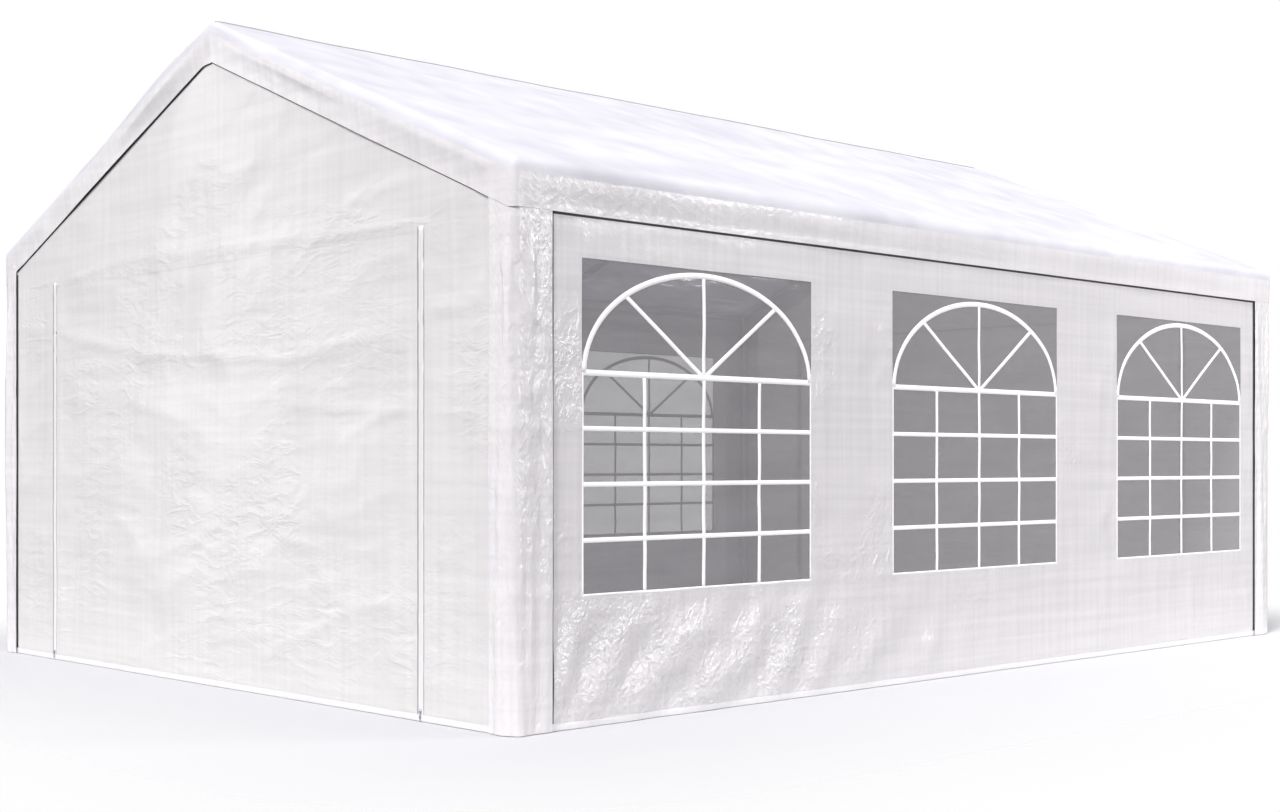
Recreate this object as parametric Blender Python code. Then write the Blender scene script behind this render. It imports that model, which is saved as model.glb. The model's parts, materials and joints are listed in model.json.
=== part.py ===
"""Marquee tent: a white tarpaulin party tent on a steel tube frame, with a gable roof.

Metres, +Z up. The origin is at the middle of the footprint on the ground, the ridge runs
along Y, the front gable faces -Y, and right is +X. Every sheet of tarpaulin is a thin
solid, the tubes are real pipes, and the joints are socketed balls that the pipes slide into.
"""

import math

import bmesh
import bpy
from mathutils import Matrix, Vector

# Outside of the roof cover, and the height of its ridge above the ground.
HALF_WIDTH = 2.235
HALF_LENGTH = 3.075
RIDGE_Z = 3.160
# Rise over run of the roof, and the lower edge of the valance under the eaves.
ROOF_SLOPE = 0.4085
VALANCE_BOTTOM_Z = 2.056
# Lower edge of the gable valance under the ridge, and how steeply it falls to the corner.
GABLE_VALANCE_APEX_Z = 2.967
GABLE_VALANCE_SLOPE = 0.4141
# Radius of the folds round the roof's edges.
FOLD_RADIUS = 0.035
FOLD_STEPS = 4

# Thickness of the tarpaulin solids, and the space left between touching solids.
SKIN = 0.004
GAP = 0.0003
HEM_Z = 0.002

# The walls hang this far behind the outer face of the valance.
WALL_RECESS = 0.0143
WALL_TOP_Z = 2.200
GABLE_TOP_DROP = 0.040
WALL_PAST_LEG = 0.004

# Corner sleeves: width on the gable and on the side, top, and radius of the corner.
SLEEVE_ON_GABLE = 0.155
SLEEVE_ON_SIDE = 0.207
SLEEVE_TOP_Z = 2.170
SLEEVE_RADIUS = 0.045
SLEEVE_STEPS = 5

# Windows of the side walls: three to a wall, one in each bay.
WINDOW_CENTRES_Y = (-2.0, 0.0, 2.0)
WINDOW_WIDTH = 1.407
WINDOW_BOTTOM_Z = 0.525
WINDOW_TOP_Z = 1.885
PANE_THICKNESS = 0.002

# The zipped door in each gable.
DOOR_HALF_WIDTH = 1.630
DOOR_TOP_Z = 2.010

# Frame: pipes, the sockets that take them and the ball in the middle of a joint.
PIPE_RADIUS = 0.019
PIPE_WALL = 0.0012
PIPE_SIDES = 16
SOCKET_RADIUS = 0.022
SOCKET_BORE = PIPE_RADIUS + 0.00035
SOCKET_REACH = 0.090
SOCKET_FLOOR = 0.025
PIPE_END = 0.026
BALL_RADIUS = 0.023
BALL_RINGS = 8
MIDDLE_LEG_Y = 1.000
# The foot plate reaches from just inside the leg's outer face towards the middle of the tent.
FOOT_SIZE = 0.080
FOOT_THICKNESS = 0.004
FOOT_REACH_OUT = PIPE_RADIUS - 0.001
FOOT_WELD = 0.001

# Places of the frame, worked out from the sheets that lie on it.
ROOF_ANGLE = math.atan(ROOF_SLOPE)
WALL_INSIDE_X = HALF_WIDTH - WALL_RECESS - SKIN
WALL_INSIDE_Y = HALF_LENGTH - WALL_RECESS - SKIN
LEG_X = WALL_INSIDE_X - GAP - SOCKET_RADIUS
END_LEG_Y = WALL_INSIDE_Y - GAP - SOCKET_RADIUS
RIDGE_AXIS_Z = RIDGE_Z - (SKIN + GAP + BALL_RADIUS) / math.cos(ROOF_ANGLE)
EAVE_AXIS_Z = RIDGE_AXIS_Z - ROOF_SLOPE * LEG_X
LEG_ROWS_Y = (-END_LEG_Y, -MIDDLE_LEG_Y, MIDDLE_LEG_Y, END_LEG_Y)
SIDES = {"left": -1, "right": 1}
ENDS = {"front": -1, "back": 1}

UP = Vector((0, 0, 1))
ALONG = Vector((0, 1, 0))

MATERIALS = {
    "tarpaulin": {"color": (0.87, 0.87, 0.88, 1), "roughness": 0.45, "metallic": 0.0},
    "clear_sheet": {"color": (0.62, 0.62, 0.63, 1), "roughness": 0.15, "metallic": 0.0},
    "coated_steel": {"color": (0.72, 0.73, 0.74, 1), "roughness": 0.35, "metallic": 0.0},
}


def clear_scene():
    for obj in list(bpy.data.objects):
        bpy.data.objects.remove(obj)


def make_material(node_name, kind):
    """A material of its own for each piece, with the colour of its kind."""
    finish = MATERIALS[kind]
    material = bpy.data.materials.new(node_name + "_" + kind)
    material.use_nodes = True
    shader = material.node_tree.nodes["Principled BSDF"]
    shader.inputs["Base Color"].default_value = finish["color"]
    shader.inputs["Roughness"].default_value = finish["roughness"]
    shader.inputs["Metallic"].default_value = finish["metallic"]
    return material


def add_object(name, mesh, kind=None):
    """An object of the mesh in the scene. One without a kind of material is a helper."""
    obj = bpy.data.objects.new(name, mesh)
    bpy.context.scene.collection.objects.link(obj)
    if kind is None:
        obj.hide_render = True
        obj.display_type = "WIRE"
    else:
        mesh.materials.append(make_material(name, kind))
    return obj


def mesh_from(name, bm):
    bmesh.ops.recalc_face_normals(bm, faces=bm.faces)
    mesh = bpy.data.meshes.new(name)
    bm.to_mesh(mesh)
    bm.free()
    return mesh


def smooth_round(obj):
    """Smooth shading on round pieces, with their edges kept sharp."""
    obj.data.shade_smooth()
    obj.data.set_sharp_from_angle(angle=math.radians(35))


def combine(obj, helper, operation, label):
    modifier = obj.modifiers.new(label, "BOOLEAN")
    modifier.operation = operation
    modifier.object = helper
    modifier.solver = "EXACT"


def box_mesh(name, low, high):
    bm = bmesh.new()
    bmesh.ops.create_cube(bm, size=1)
    centre = (Vector(low) + Vector(high)) / 2
    size = Vector(high) - Vector(low)
    bmesh.ops.scale(bm, vec=size, verts=bm.verts)
    bmesh.ops.translate(bm, vec=centre, verts=bm.verts)
    return mesh_from(name, bm)


def rod_frame(start, end):
    """Placement of a cylinder from start to end. Its corners line up with those of any
    other rod on the same line, whichever way that one runs."""
    along = (end - start).normalized()
    reference = UP if abs(along.y) > 0.5 else ALONG
    across = along.cross(reference).normalized()
    turn = Matrix((reference, -across, along)).transposed().to_4x4()
    return Matrix.Translation((start + end) / 2) @ turn


def rods_mesh(name, rods):
    """Separate cylinders in one mesh. Each rod is (start, end, radius)."""
    bm = bmesh.new()
    for start, end, radius in rods:
        bmesh.ops.create_cone(
            bm,
            cap_ends=True,
            segments=PIPE_SIDES,
            radius1=radius,
            radius2=radius,
            depth=(end - start).length,
            matrix=rod_frame(start, end),
        )
    return mesh_from(name, bm)


def slab_mesh(name, outline, low_y, high_y):
    """An outline of (x, z) points, closed between two places along Y."""
    bm = bmesh.new()
    front = [bm.verts.new((x, low_y, z)) for x, z in outline]
    back = [bm.verts.new((x, high_y, z)) for x, z in outline]
    bm.faces.new(front)
    bm.faces.new(reversed(back))
    count = len(outline)
    for i in range(count):
        j = (i + 1) % count
        bm.faces.new((front[i], back[i], back[j], front[j]))
    return mesh_from(name, bm)


def column_mesh(name, outline, low_z, high_z):
    """An outline of (x, y) points, closed between two heights."""
    bm = bmesh.new()
    bottom = [bm.verts.new((x, y, low_z)) for x, y in outline]
    top = [bm.verts.new((x, y, high_z)) for x, y in outline]
    bm.faces.new(bottom)
    bm.faces.new(reversed(top))
    count = len(outline)
    for i in range(count):
        j = (i + 1) % count
        bm.faces.new((bottom[i], top[i], top[j], bottom[j]))
    return mesh_from(name, bm)


def slope_arm(side):
    """Direction from an eave joint up the roof, on the left (-1) or right (1) side."""
    return Vector((-side * math.cos(ROOF_ANGLE), 0, math.sin(ROOF_ANGLE)))


def eave_point(side, y):
    return Vector((side * LEG_X, y, EAVE_AXIS_Z))


def ridge_point(y):
    return Vector((0, y, RIDGE_AXIS_Z))


def make_pipe(name, start, end):
    """A straight pipe, open at both ends."""
    pipe = add_object(name, rods_mesh(name, [(start, end, PIPE_RADIUS)]), "coated_steel")
    over = (end - start).normalized() * SOCKET_FLOOR
    bore = [(start - over, end + over, PIPE_RADIUS - PIPE_WALL)]
    combine(pipe, add_object(name + "_bore", rods_mesh(name + "_bore", bore)), "DIFFERENCE", "bore")
    smooth_round(pipe)
    return pipe


def make_leg(name, side, y):
    """A corner or middle leg: a pipe, open at the top, welded on a foot plate."""
    bottom = Vector((side * LEG_X, y, FOOT_THICKNESS / 2))
    top = eave_point(side, y) - UP * PIPE_END
    leg = add_object(name, rods_mesh(name, [(bottom, top, PIPE_RADIUS)]), "coated_steel")

    reach_in = FOOT_SIZE - FOOT_REACH_OUT
    xs = sorted((side * (LEG_X + FOOT_REACH_OUT), side * (LEG_X - reach_in)))
    if abs(y) > MIDDLE_LEG_Y:
        end = math.copysign(1, y)
        ys = sorted((end * (END_LEG_Y + FOOT_REACH_OUT), end * (END_LEG_Y - reach_in)))
    else:
        ys = (y - FOOT_SIZE / 2, y + FOOT_SIZE / 2)
    plate = box_mesh(name + "_plate", (xs[0], ys[0], 0), (xs[1], ys[1], FOOT_THICKNESS))
    combine(leg, add_object(name + "_plate", plate), "UNION", "foot plate")

    inside_low = Vector((side * LEG_X, y, FOOT_THICKNESS + FOOT_WELD))
    bore = [(inside_low, top + UP * SOCKET_FLOOR, PIPE_RADIUS - PIPE_WALL)]
    combine(leg, add_object(name + "_bore", rods_mesh(name + "_bore", bore)), "DIFFERENCE", "bore")
    smooth_round(leg)
    return leg


def socket(centre, arm):
    return (centre, centre + arm * SOCKET_REACH, SOCKET_RADIUS)


def socket_bore(centre, arm):
    mouth = centre + arm * (SOCKET_REACH + SOCKET_FLOOR)
    return (centre + arm * SOCKET_FLOOR, mouth, SOCKET_BORE)


def make_joint(name, centre, arms):
    """A ball with a socket for each pipe that meets there."""
    bm = bmesh.new()
    bmesh.ops.create_uvsphere(
        bm,
        u_segments=PIPE_SIDES,
        v_segments=BALL_RINGS,
        radius=BALL_RADIUS,
        matrix=Matrix.Translation(centre),
    )
    joint = add_object(name, mesh_from(name, bm), "coated_steel")
    for i, arm in enumerate(arms, 1):
        label = f"{name}_socket_{i}"
        helper = add_object(label, rods_mesh(label, [socket(centre, arm)]))
        combine(joint, helper, "UNION", f"socket {i}")
    bores = rods_mesh(name + "_bores", [socket_bore(centre, arm) for arm in arms])
    combine(joint, add_object(name + "_bores", bores), "DIFFERENCE", "bores")
    smooth_round(joint)
    return joint


def make_rail(name, point_at, arm_sets):
    """A long pipe with a welded joint over each middle row of legs.

    point_at gives the pipe's axis at a place along Y, and each entry of arm_sets is one
    direction in which every middle joint has a socket.
    """
    start = point_at(-END_LEG_Y) + ALONG * PIPE_END
    end = point_at(END_LEG_Y) - ALONG * PIPE_END
    rail = add_object(name, rods_mesh(name, [(start, end, PIPE_RADIUS)]), "coated_steel")
    centres = [point_at(-MIDDLE_LEG_Y), point_at(MIDDLE_LEG_Y)]
    reach = ALONG * SOCKET_REACH
    collars = [(centre - reach, centre + reach, SOCKET_RADIUS) for centre in centres]
    combine(rail, add_object(name + "_collars", rods_mesh(name + "_collars", collars)), "UNION", "collars")
    bores = [(start - ALONG * SOCKET_FLOOR, end + ALONG * SOCKET_FLOOR, PIPE_RADIUS - PIPE_WALL)]
    for i, arm in enumerate(arm_sets, 1):
        label = f"{name}_sockets_{i}"
        sockets = rods_mesh(label, [socket(centre, arm) for centre in centres])
        combine(rail, add_object(label, sockets), "UNION", f"sockets {i}")
        bores += [socket_bore(centre, arm) for centre in centres]
    combine(rail, add_object(name + "_bores", rods_mesh(name + "_bores", bores)), "DIFFERENCE", "bores")
    smooth_round(rail)
    return rail


def make_frame():
    for side_name, side in SIDES.items():
        for row, y in enumerate(LEG_ROWS_Y, 1):
            make_leg(f"leg_{side_name}_{row}", side, y)
            run = slope_arm(side) * PIPE_END
            make_pipe(f"rafter_{side_name}_{row}", eave_point(side, y) + run, ridge_point(y) - run)
        make_rail(
            f"eave_rail_{side_name}",
            lambda y, side=side: eave_point(side, y),
            [-UP, slope_arm(side)],
        )
    make_rail("ridge_rail", ridge_point, [-slope_arm(-1), -slope_arm(1)])
    for end_name, end in ENDS.items():
        y = end * END_LEG_Y
        inward = ALONG * -end
        arms = [inward, -slope_arm(-1), -slope_arm(1)]
        make_joint(f"ridge_joint_{end_name}", ridge_point(y), arms)
        for side_name, side in SIDES.items():
            arms = [-UP, inward, slope_arm(side)]
            make_joint(f"corner_joint_{end_name}_{side_name}", eave_point(side, y), arms)


def gable_outline(half_width, ridge_z, bottom_z):
    eave_z = ridge_z - ROOF_SLOPE * half_width
    return [
        (-half_width, bottom_z),
        (half_width, bottom_z),
        (half_width, eave_z),
        (0, ridge_z),
        (-half_width, eave_z),
    ]


def round_folds(obj, radius, bottom_z, ridge_radius):
    """Rounds every edge of a roof prism that isn't on its bottom, the ridge by its own radius."""
    ridge_share = ridge_radius / math.tan(math.pi / 2 - ROOF_ANGLE) / radius
    weights = obj.data.attributes.new("bevel_weight_edge", "FLOAT", "EDGE")
    for edge in obj.data.edges:
        ends = [obj.data.vertices[i].co for i in edge.vertices]
        on_bottom = all(abs(co.z - bottom_z) < SKIN for co in ends)
        on_ridge = all(abs(co.x) < SKIN for co in ends)
        if on_ridge:
            weight = ridge_share
        else:
            weight = 0.0 if on_bottom else 1.0
        weights.data[edge.index].value = weight
    bevel = obj.modifiers.new("folds", "BEVEL")
    bevel.width = radius
    bevel.segments = FOLD_STEPS
    bevel.limit_method = "WEIGHT"


def make_roof_cover():
    """Two slopes, with valances hanging from the eaves and from the gable edges."""
    outline = gable_outline(HALF_WIDTH, RIDGE_Z, VALANCE_BOTTOM_Z)
    cover = add_object(
        "roof_cover", slab_mesh("roof_cover", outline, -HALF_LENGTH, HALF_LENGTH), "tarpaulin"
    )
    round_folds(cover, FOLD_RADIUS, VALANCE_BOTTOM_Z, BALL_RADIUS + GAP + SKIN)

    inner_bottom = VALANCE_BOTTOM_Z - FOLD_RADIUS
    inner_ridge = RIDGE_Z - SKIN / math.cos(ROOF_ANGLE)
    inner_outline = gable_outline(HALF_WIDTH - SKIN, inner_ridge, inner_bottom)
    inner_y = HALF_LENGTH - SKIN
    inside = add_object("roof_inside", slab_mesh("roof_inside", inner_outline, -inner_y, inner_y))
    round_folds(inside, FOLD_RADIUS - SKIN, inner_bottom, 0)
    combine(cover, inside, "DIFFERENCE", "inside")

    reach = HALF_WIDTH + FOLD_RADIUS
    low_z = GABLE_VALANCE_APEX_Z - GABLE_VALANCE_SLOPE * reach
    triangle = [(-reach, low_z), (reach, low_z), (0, GABLE_VALANCE_APEX_Z)]
    far = HALF_LENGTH + FOLD_RADIUS
    view = add_object("gable_view", slab_mesh("gable_view", triangle, -far, far))
    combine(cover, view, "DIFFERENCE", "gable edge")
    smooth_round(cover)


def make_sleeve(name, side, end):
    """The strip of tarpaulin that wraps a corner leg, tucked up behind the valances."""
    outside_x = HALF_WIDTH - SKIN - GAP
    outside_y = HALF_LENGTH - SKIN - GAP
    centre_x = outside_x - SLEEVE_RADIUS
    centre_y = outside_y - SLEEVE_RADIUS
    angles = [math.pi / 2 * i / SLEEVE_STEPS for i in range(SLEEVE_STEPS + 1)]

    def bend(radius):
        return [
            (centre_x + radius * math.cos(angle), centre_y + radius * math.sin(angle))
            for angle in angles
        ]

    side_end_y = HALF_LENGTH - SLEEVE_ON_SIDE
    gable_end_x = HALF_WIDTH - SLEEVE_ON_GABLE
    outline = [(outside_x, side_end_y)]
    outline += bend(SLEEVE_RADIUS)
    outline += [(gable_end_x, outside_y), (gable_end_x, outside_y - SKIN)]
    outline += reversed(bend(SLEEVE_RADIUS - SKIN))
    outline += [(outside_x - SKIN, side_end_y)]
    placed = [(side * x, end * y) for x, y in outline]
    sleeve = add_object(name, column_mesh(name, placed, HEM_Z, SLEEVE_TOP_Z), "tarpaulin")
    smooth_round(sleeve)


def make_gable_wall(end_name, end):
    """A gable wall with its zipped door, which fills the opening that is cut for it."""
    inner = end * WALL_INSIDE_Y
    outer = end * (WALL_INSIDE_Y + SKIN)
    low_y, high_y = sorted((inner, outer))
    half_width = LEG_X + WALL_PAST_LEG
    name = f"gable_wall_{end_name}"
    outline = gable_outline(half_width, RIDGE_Z - GABLE_TOP_DROP, HEM_Z)
    wall = add_object(name, slab_mesh(name, outline, low_y, high_y), "tarpaulin")
    doorway = box_mesh(
        name + "_doorway",
        (-DOOR_HALF_WIDTH, low_y - SKIN, -SKIN),
        (DOOR_HALF_WIDTH, high_y + SKIN, DOOR_TOP_Z),
    )
    combine(wall, add_object(name + "_doorway", doorway), "DIFFERENCE", "doorway")

    flap_name = f"door_flap_{end_name}"
    half_flap = DOOR_HALF_WIDTH - GAP
    flap = box_mesh(flap_name, (-half_flap, low_y, HEM_Z), (half_flap, high_y, DOOR_TOP_Z - GAP))
    add_object(flap_name, flap, "tarpaulin")


def make_side_wall(side_name, side):
    """A side wall with three windows, each filled by a clear sheet."""
    inner = side * WALL_INSIDE_X
    outer = side * (WALL_INSIDE_X + SKIN)
    low_x, high_x = sorted((inner, outer))
    half_length = END_LEG_Y + WALL_PAST_LEG
    name = f"side_wall_{side_name}"
    slab = box_mesh(name, (low_x, -half_length, HEM_Z), (high_x, half_length, WALL_TOP_Z))
    wall = add_object(name, slab, "tarpaulin")

    middle = (inner + outer) / 2
    half_pane = PANE_THICKNESS / 2
    for number, centre_y in enumerate(WINDOW_CENTRES_Y, 1):
        low_y = centre_y - WINDOW_WIDTH / 2
        high_y = centre_y + WINDOW_WIDTH / 2
        label = f"{name}_opening_{number}"
        opening = box_mesh(
            label,
            (low_x - SKIN, low_y, WINDOW_BOTTOM_Z),
            (high_x + SKIN, high_y, WINDOW_TOP_Z),
        )
        combine(wall, add_object(label, opening), "DIFFERENCE", f"opening {number}")
        pane_name = f"window_pane_{side_name}_{number}"
        pane = box_mesh(
            pane_name,
            (middle - half_pane, low_y + GAP, WINDOW_BOTTOM_Z + GAP),
            (middle + half_pane, high_y - GAP, WINDOW_TOP_Z - GAP),
        )
        add_object(pane_name, pane, "clear_sheet")


def make_covers():
    make_roof_cover()
    for end_name, end in ENDS.items():
        make_gable_wall(end_name, end)
        for side_name, side in SIDES.items():
            make_sleeve(f"corner_sleeve_{end_name}_{side_name}", side, end)
    for side_name, side in SIDES.items():
        make_side_wall(side_name, side)


def main():
    clear_scene()
    make_frame()
    make_covers()


main()
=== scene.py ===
"""Looks of the marquee tent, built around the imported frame.

Metres, +Z up, in the frame's own axes: the ridge runs along Y, the front gable faces -Y and
right is +X. Each class below is one sub-assembly of the tent or one finish. The sheets are
real creased meshes, and what is finer than a mesh can hold is bump in their materials.
"""

from __future__ import annotations

import json
import logging
import math
from contextlib import contextmanager
from dataclasses import dataclass
from enum import Enum
from functools import partial
from typing import Any, Callable, Iterator, Sequence

import bmesh
import bpy
import numpy as np
from mathutils import Matrix, Vector

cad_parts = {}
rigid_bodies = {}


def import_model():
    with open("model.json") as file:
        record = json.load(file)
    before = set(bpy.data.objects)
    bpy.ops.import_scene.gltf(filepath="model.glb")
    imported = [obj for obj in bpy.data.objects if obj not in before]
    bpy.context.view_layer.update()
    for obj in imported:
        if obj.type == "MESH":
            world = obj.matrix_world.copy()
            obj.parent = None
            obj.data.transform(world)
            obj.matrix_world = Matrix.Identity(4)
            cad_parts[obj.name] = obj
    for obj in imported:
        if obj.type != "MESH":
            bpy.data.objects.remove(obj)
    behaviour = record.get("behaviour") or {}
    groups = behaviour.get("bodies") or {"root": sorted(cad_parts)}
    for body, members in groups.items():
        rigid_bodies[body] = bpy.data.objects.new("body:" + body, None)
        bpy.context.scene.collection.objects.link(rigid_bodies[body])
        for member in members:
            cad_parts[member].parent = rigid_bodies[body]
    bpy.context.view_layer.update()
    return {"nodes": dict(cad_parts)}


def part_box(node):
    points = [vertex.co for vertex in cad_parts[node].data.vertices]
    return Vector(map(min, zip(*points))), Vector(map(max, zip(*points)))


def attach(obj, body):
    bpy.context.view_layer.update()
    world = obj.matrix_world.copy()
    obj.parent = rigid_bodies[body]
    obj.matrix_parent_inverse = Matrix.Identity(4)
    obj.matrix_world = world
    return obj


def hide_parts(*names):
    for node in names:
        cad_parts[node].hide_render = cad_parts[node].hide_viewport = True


Array = np.ndarray
Place = Callable[[Array, Array], Array]
Pair = tuple[float, float]
Triple = tuple[float, float, float]
Box = tuple[float, float, float, float]
Faces = Sequence[Sequence[int]]
Thing = bpy.types.Object
Tree = bpy.types.NodeTree
Node = bpy.types.Node
Socket = bpy.types.NodeSocket

log = logging.getLogger("marquee_tent")

BODY = "root"
MM = 0.001

ROOF_SLOPE = 0.4085
ROOF_ANGLE = math.atan(ROOF_SLOPE)
GABLE_VALANCE_APEX_Z = 2.967
GABLE_VALANCE_SLOPE = 0.4141
HIGHER_ON_THE_LEFT = 0.024
RIDGE_OVER_GABLE_WALL = 0.040
FOLD_RADIUS = 0.055
GABLE_FOLD_RADIUS = 0.030
SLEEVE_RADIUS = 0.045

MIDDLE_LEGS_Y = 1.0
END_LEGS_Y = 3.0344
TUBE_RADIUS = 0.019

SHEET_THICKNESS = 1.2 * MM
EDGE_ROW = 1.5 * MM
FILM_THICKNESS = 0.8 * MM
CLEARANCE = 0.2 * MM
LAYER = 0.1 * MM
HEM_WIDTH = 22 * MM
HEM_RISE = 0.4 * MM
HEM_STITCH_Z = 34 * MM
STITCH_PITCH = 9 * MM
STRIP_STEP = 20 * MM
SHADOW_LINE_STEP = 30 * MM
SHARP_FROM = math.radians(40)
APEX_STEP = 0.08
STITCH_MARGIN = 12 * MM

# Where the creases of the sheets are spread: along the tent, across it, and up its walls.
FOLDS_ALONG: Pair = (-3.0, 3.0)
FOLDS_ACROSS: Pair = (-2.4, 2.4)
FOLDS_UP_GABLE: Pair = (0.0, 2.9)
FOLDS_UP_SIDE: Pair = (0.0, 2.1)


class Labelled(Enum):
    """A choice that has a word in the names of pieces."""

    @property
    def label(self) -> str:
        """The word."""
        return self.name.lower()


class Side(Labelled):
    """A long side of the tent, by the sign of its X."""

    LEFT = -1
    RIGHT = 1


class End(Labelled):
    """A gable end of the tent, by the sign of its Y."""

    FRONT = -1
    BACK = 1


class Slot(Enum):
    """The record's material slots."""

    TARPAULIN = "tarpaulin"
    CLEAR = "clear_sheet"
    STEEL = "coated_steel"


# Small tools for meshes and nodes.


def smooth(value: Array | float, low: float, high: float) -> Array:
    """Rises gently from 0 at low to 1 at high."""
    share = np.clip((np.asarray(value, float) - low) / (high - low), 0.0, 1.0)
    return share * share * (3.0 - 2.0 * share)


@dataclass(frozen=True)
class Fade:
    """How freely cloth moves by its distance from what holds it: least at low, all at high."""

    low: float
    high: float
    least: float = 0.0

    def at(self, distance: Array) -> Array:
        """The share at each distance."""
        return self.least + (1 - self.least) * smooth(distance, self.low, self.high)


def graded(stops: Sequence[float], spacing: float) -> Array:
    """Places from the first stop to the last.

    Args:
        stops: rising values that all have to be among the places.
        spacing: the widest step between two places.

    Returns:
        The places, as one rising array.
    """
    runs = []
    for low, high in zip(stops[:-1], stops[1:]):
        count = max(1, math.ceil((high - low) / spacing))
        runs.append(np.linspace(low, high, count + 1)[:-1])
    return np.concatenate([*runs, [stops[-1]]])


def along_path(points: Sequence[Sequence[float]], spacing: float) -> Array:
    """Points along a bent line, with its corners kept.

    Args:
        points: corners of the line, as (u, v).
        spacing: the widest step between two points.

    Returns:
        The points, one a row.
    """
    corners = [np.asarray(p, float) for p in points]
    runs = []
    for low, high in zip(corners[:-1], corners[1:]):
        count = max(1, math.ceil(np.linalg.norm(high - low) / spacing))
        share = np.linspace(0, 1, count + 1)[:-1, None]
        runs.append(low + (high - low) * share)
    return np.concatenate([*runs, corners[-1][None]])


def linked(name: str, data: bpy.types.ID) -> Thing:
    """A new object with its data, in the scene."""
    obj = bpy.data.objects.new(name, data)
    bpy.context.scene.collection.objects.link(obj)
    return obj


@contextmanager
def edited(mesh: bpy.types.Mesh) -> Iterator[bmesh.types.BMesh]:
    """Opens a mesh for editing, and writes it back at the end."""
    bm = bmesh.new()
    bm.from_mesh(mesh)
    yield bm
    bm.to_mesh(mesh)
    bm.free()


def vertices_of(mesh: bpy.types.Mesh) -> Array:
    """The places of a mesh's vertices, one a row."""
    places = np.zeros(len(mesh.vertices) * 3)
    mesh.vertices.foreach_get("co", places)
    return places.reshape(-1, 3)


def object_from(name: str, points: Array, faces: Faces) -> Thing:
    """A smooth-shaded mesh object in the scene.

    Args:
        name: name of the object and its mesh.
        points: vertices, one a row.
        faces: vertex numbers of each face.

    Returns:
        The new object.
    """
    mesh = bpy.data.meshes.new(name)
    mesh.from_pydata(np.asarray(points, float).reshape(-1, 3).tolist(), [], [list(f) for f in faces])
    mesh.update()
    mesh.shade_smooth()
    return linked(name, mesh)


def solid_from(name: str, points: Array, faces: Faces, sharp: bool = False) -> Thing:
    """An object of closed solids, with their faces turned outwards.

    Args:
        name: name of the object and its mesh.
        points: vertices, one a row.
        faces: vertex numbers of each face.
        sharp: draws the steeper edges sharp.

    Returns:
        The new object.
    """
    obj = object_from(name, points, faces)
    with edited(obj.data) as bm:
        bmesh.ops.recalc_face_normals(bm, faces=bm.faces)
    if sharp:
        obj.data.set_sharp_from_angle(angle=SHARP_FROM)
    return obj


def ring_faces(rings: int, corners: int) -> list[tuple[int, ...]]:
    """Faces of a solid that runs through rings of corners.

    Args:
        rings: number of rings, one after the other.
        corners: number of corners of each ring.

    Returns:
        Vertex numbers of each face, those of both ends last.
    """
    faces: list[tuple[int, ...]] = []
    for low in range(0, (rings - 1) * corners, corners):
        for k in range(corners):
            n = (k + 1) % corners
            faces.append((low + k, low + n, low + corners + n, low + corners + k))
    faces.append(tuple(reversed(range(corners))))
    faces.append(tuple((rings - 1) * corners + k for k in range(corners)))
    return faces


def repeated(shape: Faces, corners: int, times: int) -> list[tuple[int, ...]]:
    """Faces of many small blocks of one shape, each with so many corners."""
    return [tuple(corners * i + k for k in face) for i in range(times) for face in shape]


def grid_faces(rows: int, columns: int, keep: Array | None = None, flip: bool = False) -> Array:
    """Quads of a grid of vertices.

    Args:
        rows: number of rows of vertices.
        columns: number of vertices in a row.
        keep: which cells are wanted, rows - 1 by columns - 1, or None for all.
        flip: turns the faces round.

    Returns:
        Four vertex numbers a row.
    """
    first = np.arange(rows - 1)[:, None] * columns + np.arange(columns - 1)[None, :]
    quads = np.stack([first, first + 1, first + columns + 1, first + columns], axis=-1)
    quads = quads[keep] if keep is not None else quads.reshape(-1, 4)
    return quads[:, ::-1] if flip else quads


def mark_creased(obj: Thing, creased: Array) -> None:
    """Stores how crinkled a sheet is at each vertex, for its finish."""
    layer = obj.data.attributes.new("creased", "FLOAT", "POINT")
    layer.data.foreach_set("value", np.ascontiguousarray(creased, dtype=np.float32))


def grid_sheet(
    name: str,
    us: Array,
    vs: Array,
    place: Place,
    creased: Callable[[Array, Array], Array],
    holes: Sequence[Box] = (),
    flip: bool = False,
) -> Thing:
    """A sheet over a grid, with openings.

    Args:
        name: name of the object.
        us: places across the sheet.
        vs: places up the sheet.
        place: gives the point in the tent for each pair of u and v.
        creased: gives how crinkled the sheet is there, about 0 to 1.
        holes: (low u, high u, low v, high v) of each opening, on lines of the grid.
        flip: turns the faces round.

    Returns:
        The new object, still without thickness.
    """
    u, v = np.meshgrid(us, vs)
    points = place(u.ravel(), v.ravel())
    keep = np.ones((len(vs) - 1, len(us) - 1), bool)
    mid_u = (us[:-1] + us[1:]) / 2
    mid_v = (vs[:-1] + vs[1:]) / 2
    for low_u, high_u, low_v, high_v in holes:
        across = (mid_u > low_u) & (mid_u < high_u)
        up = (mid_v > low_v) & (mid_v < high_v)
        keep &= ~(up[:, None] & across[None, :])
    faces = grid_faces(len(vs), len(us), keep, flip)
    used = np.unique(faces)
    renumber = np.zeros(len(points), int)
    renumber[used] = np.arange(len(used))
    sheet = object_from(name, points[used], renumber[faces])
    mark_creased(sheet, creased(u.ravel(), v.ravel())[used])
    return sheet


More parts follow.
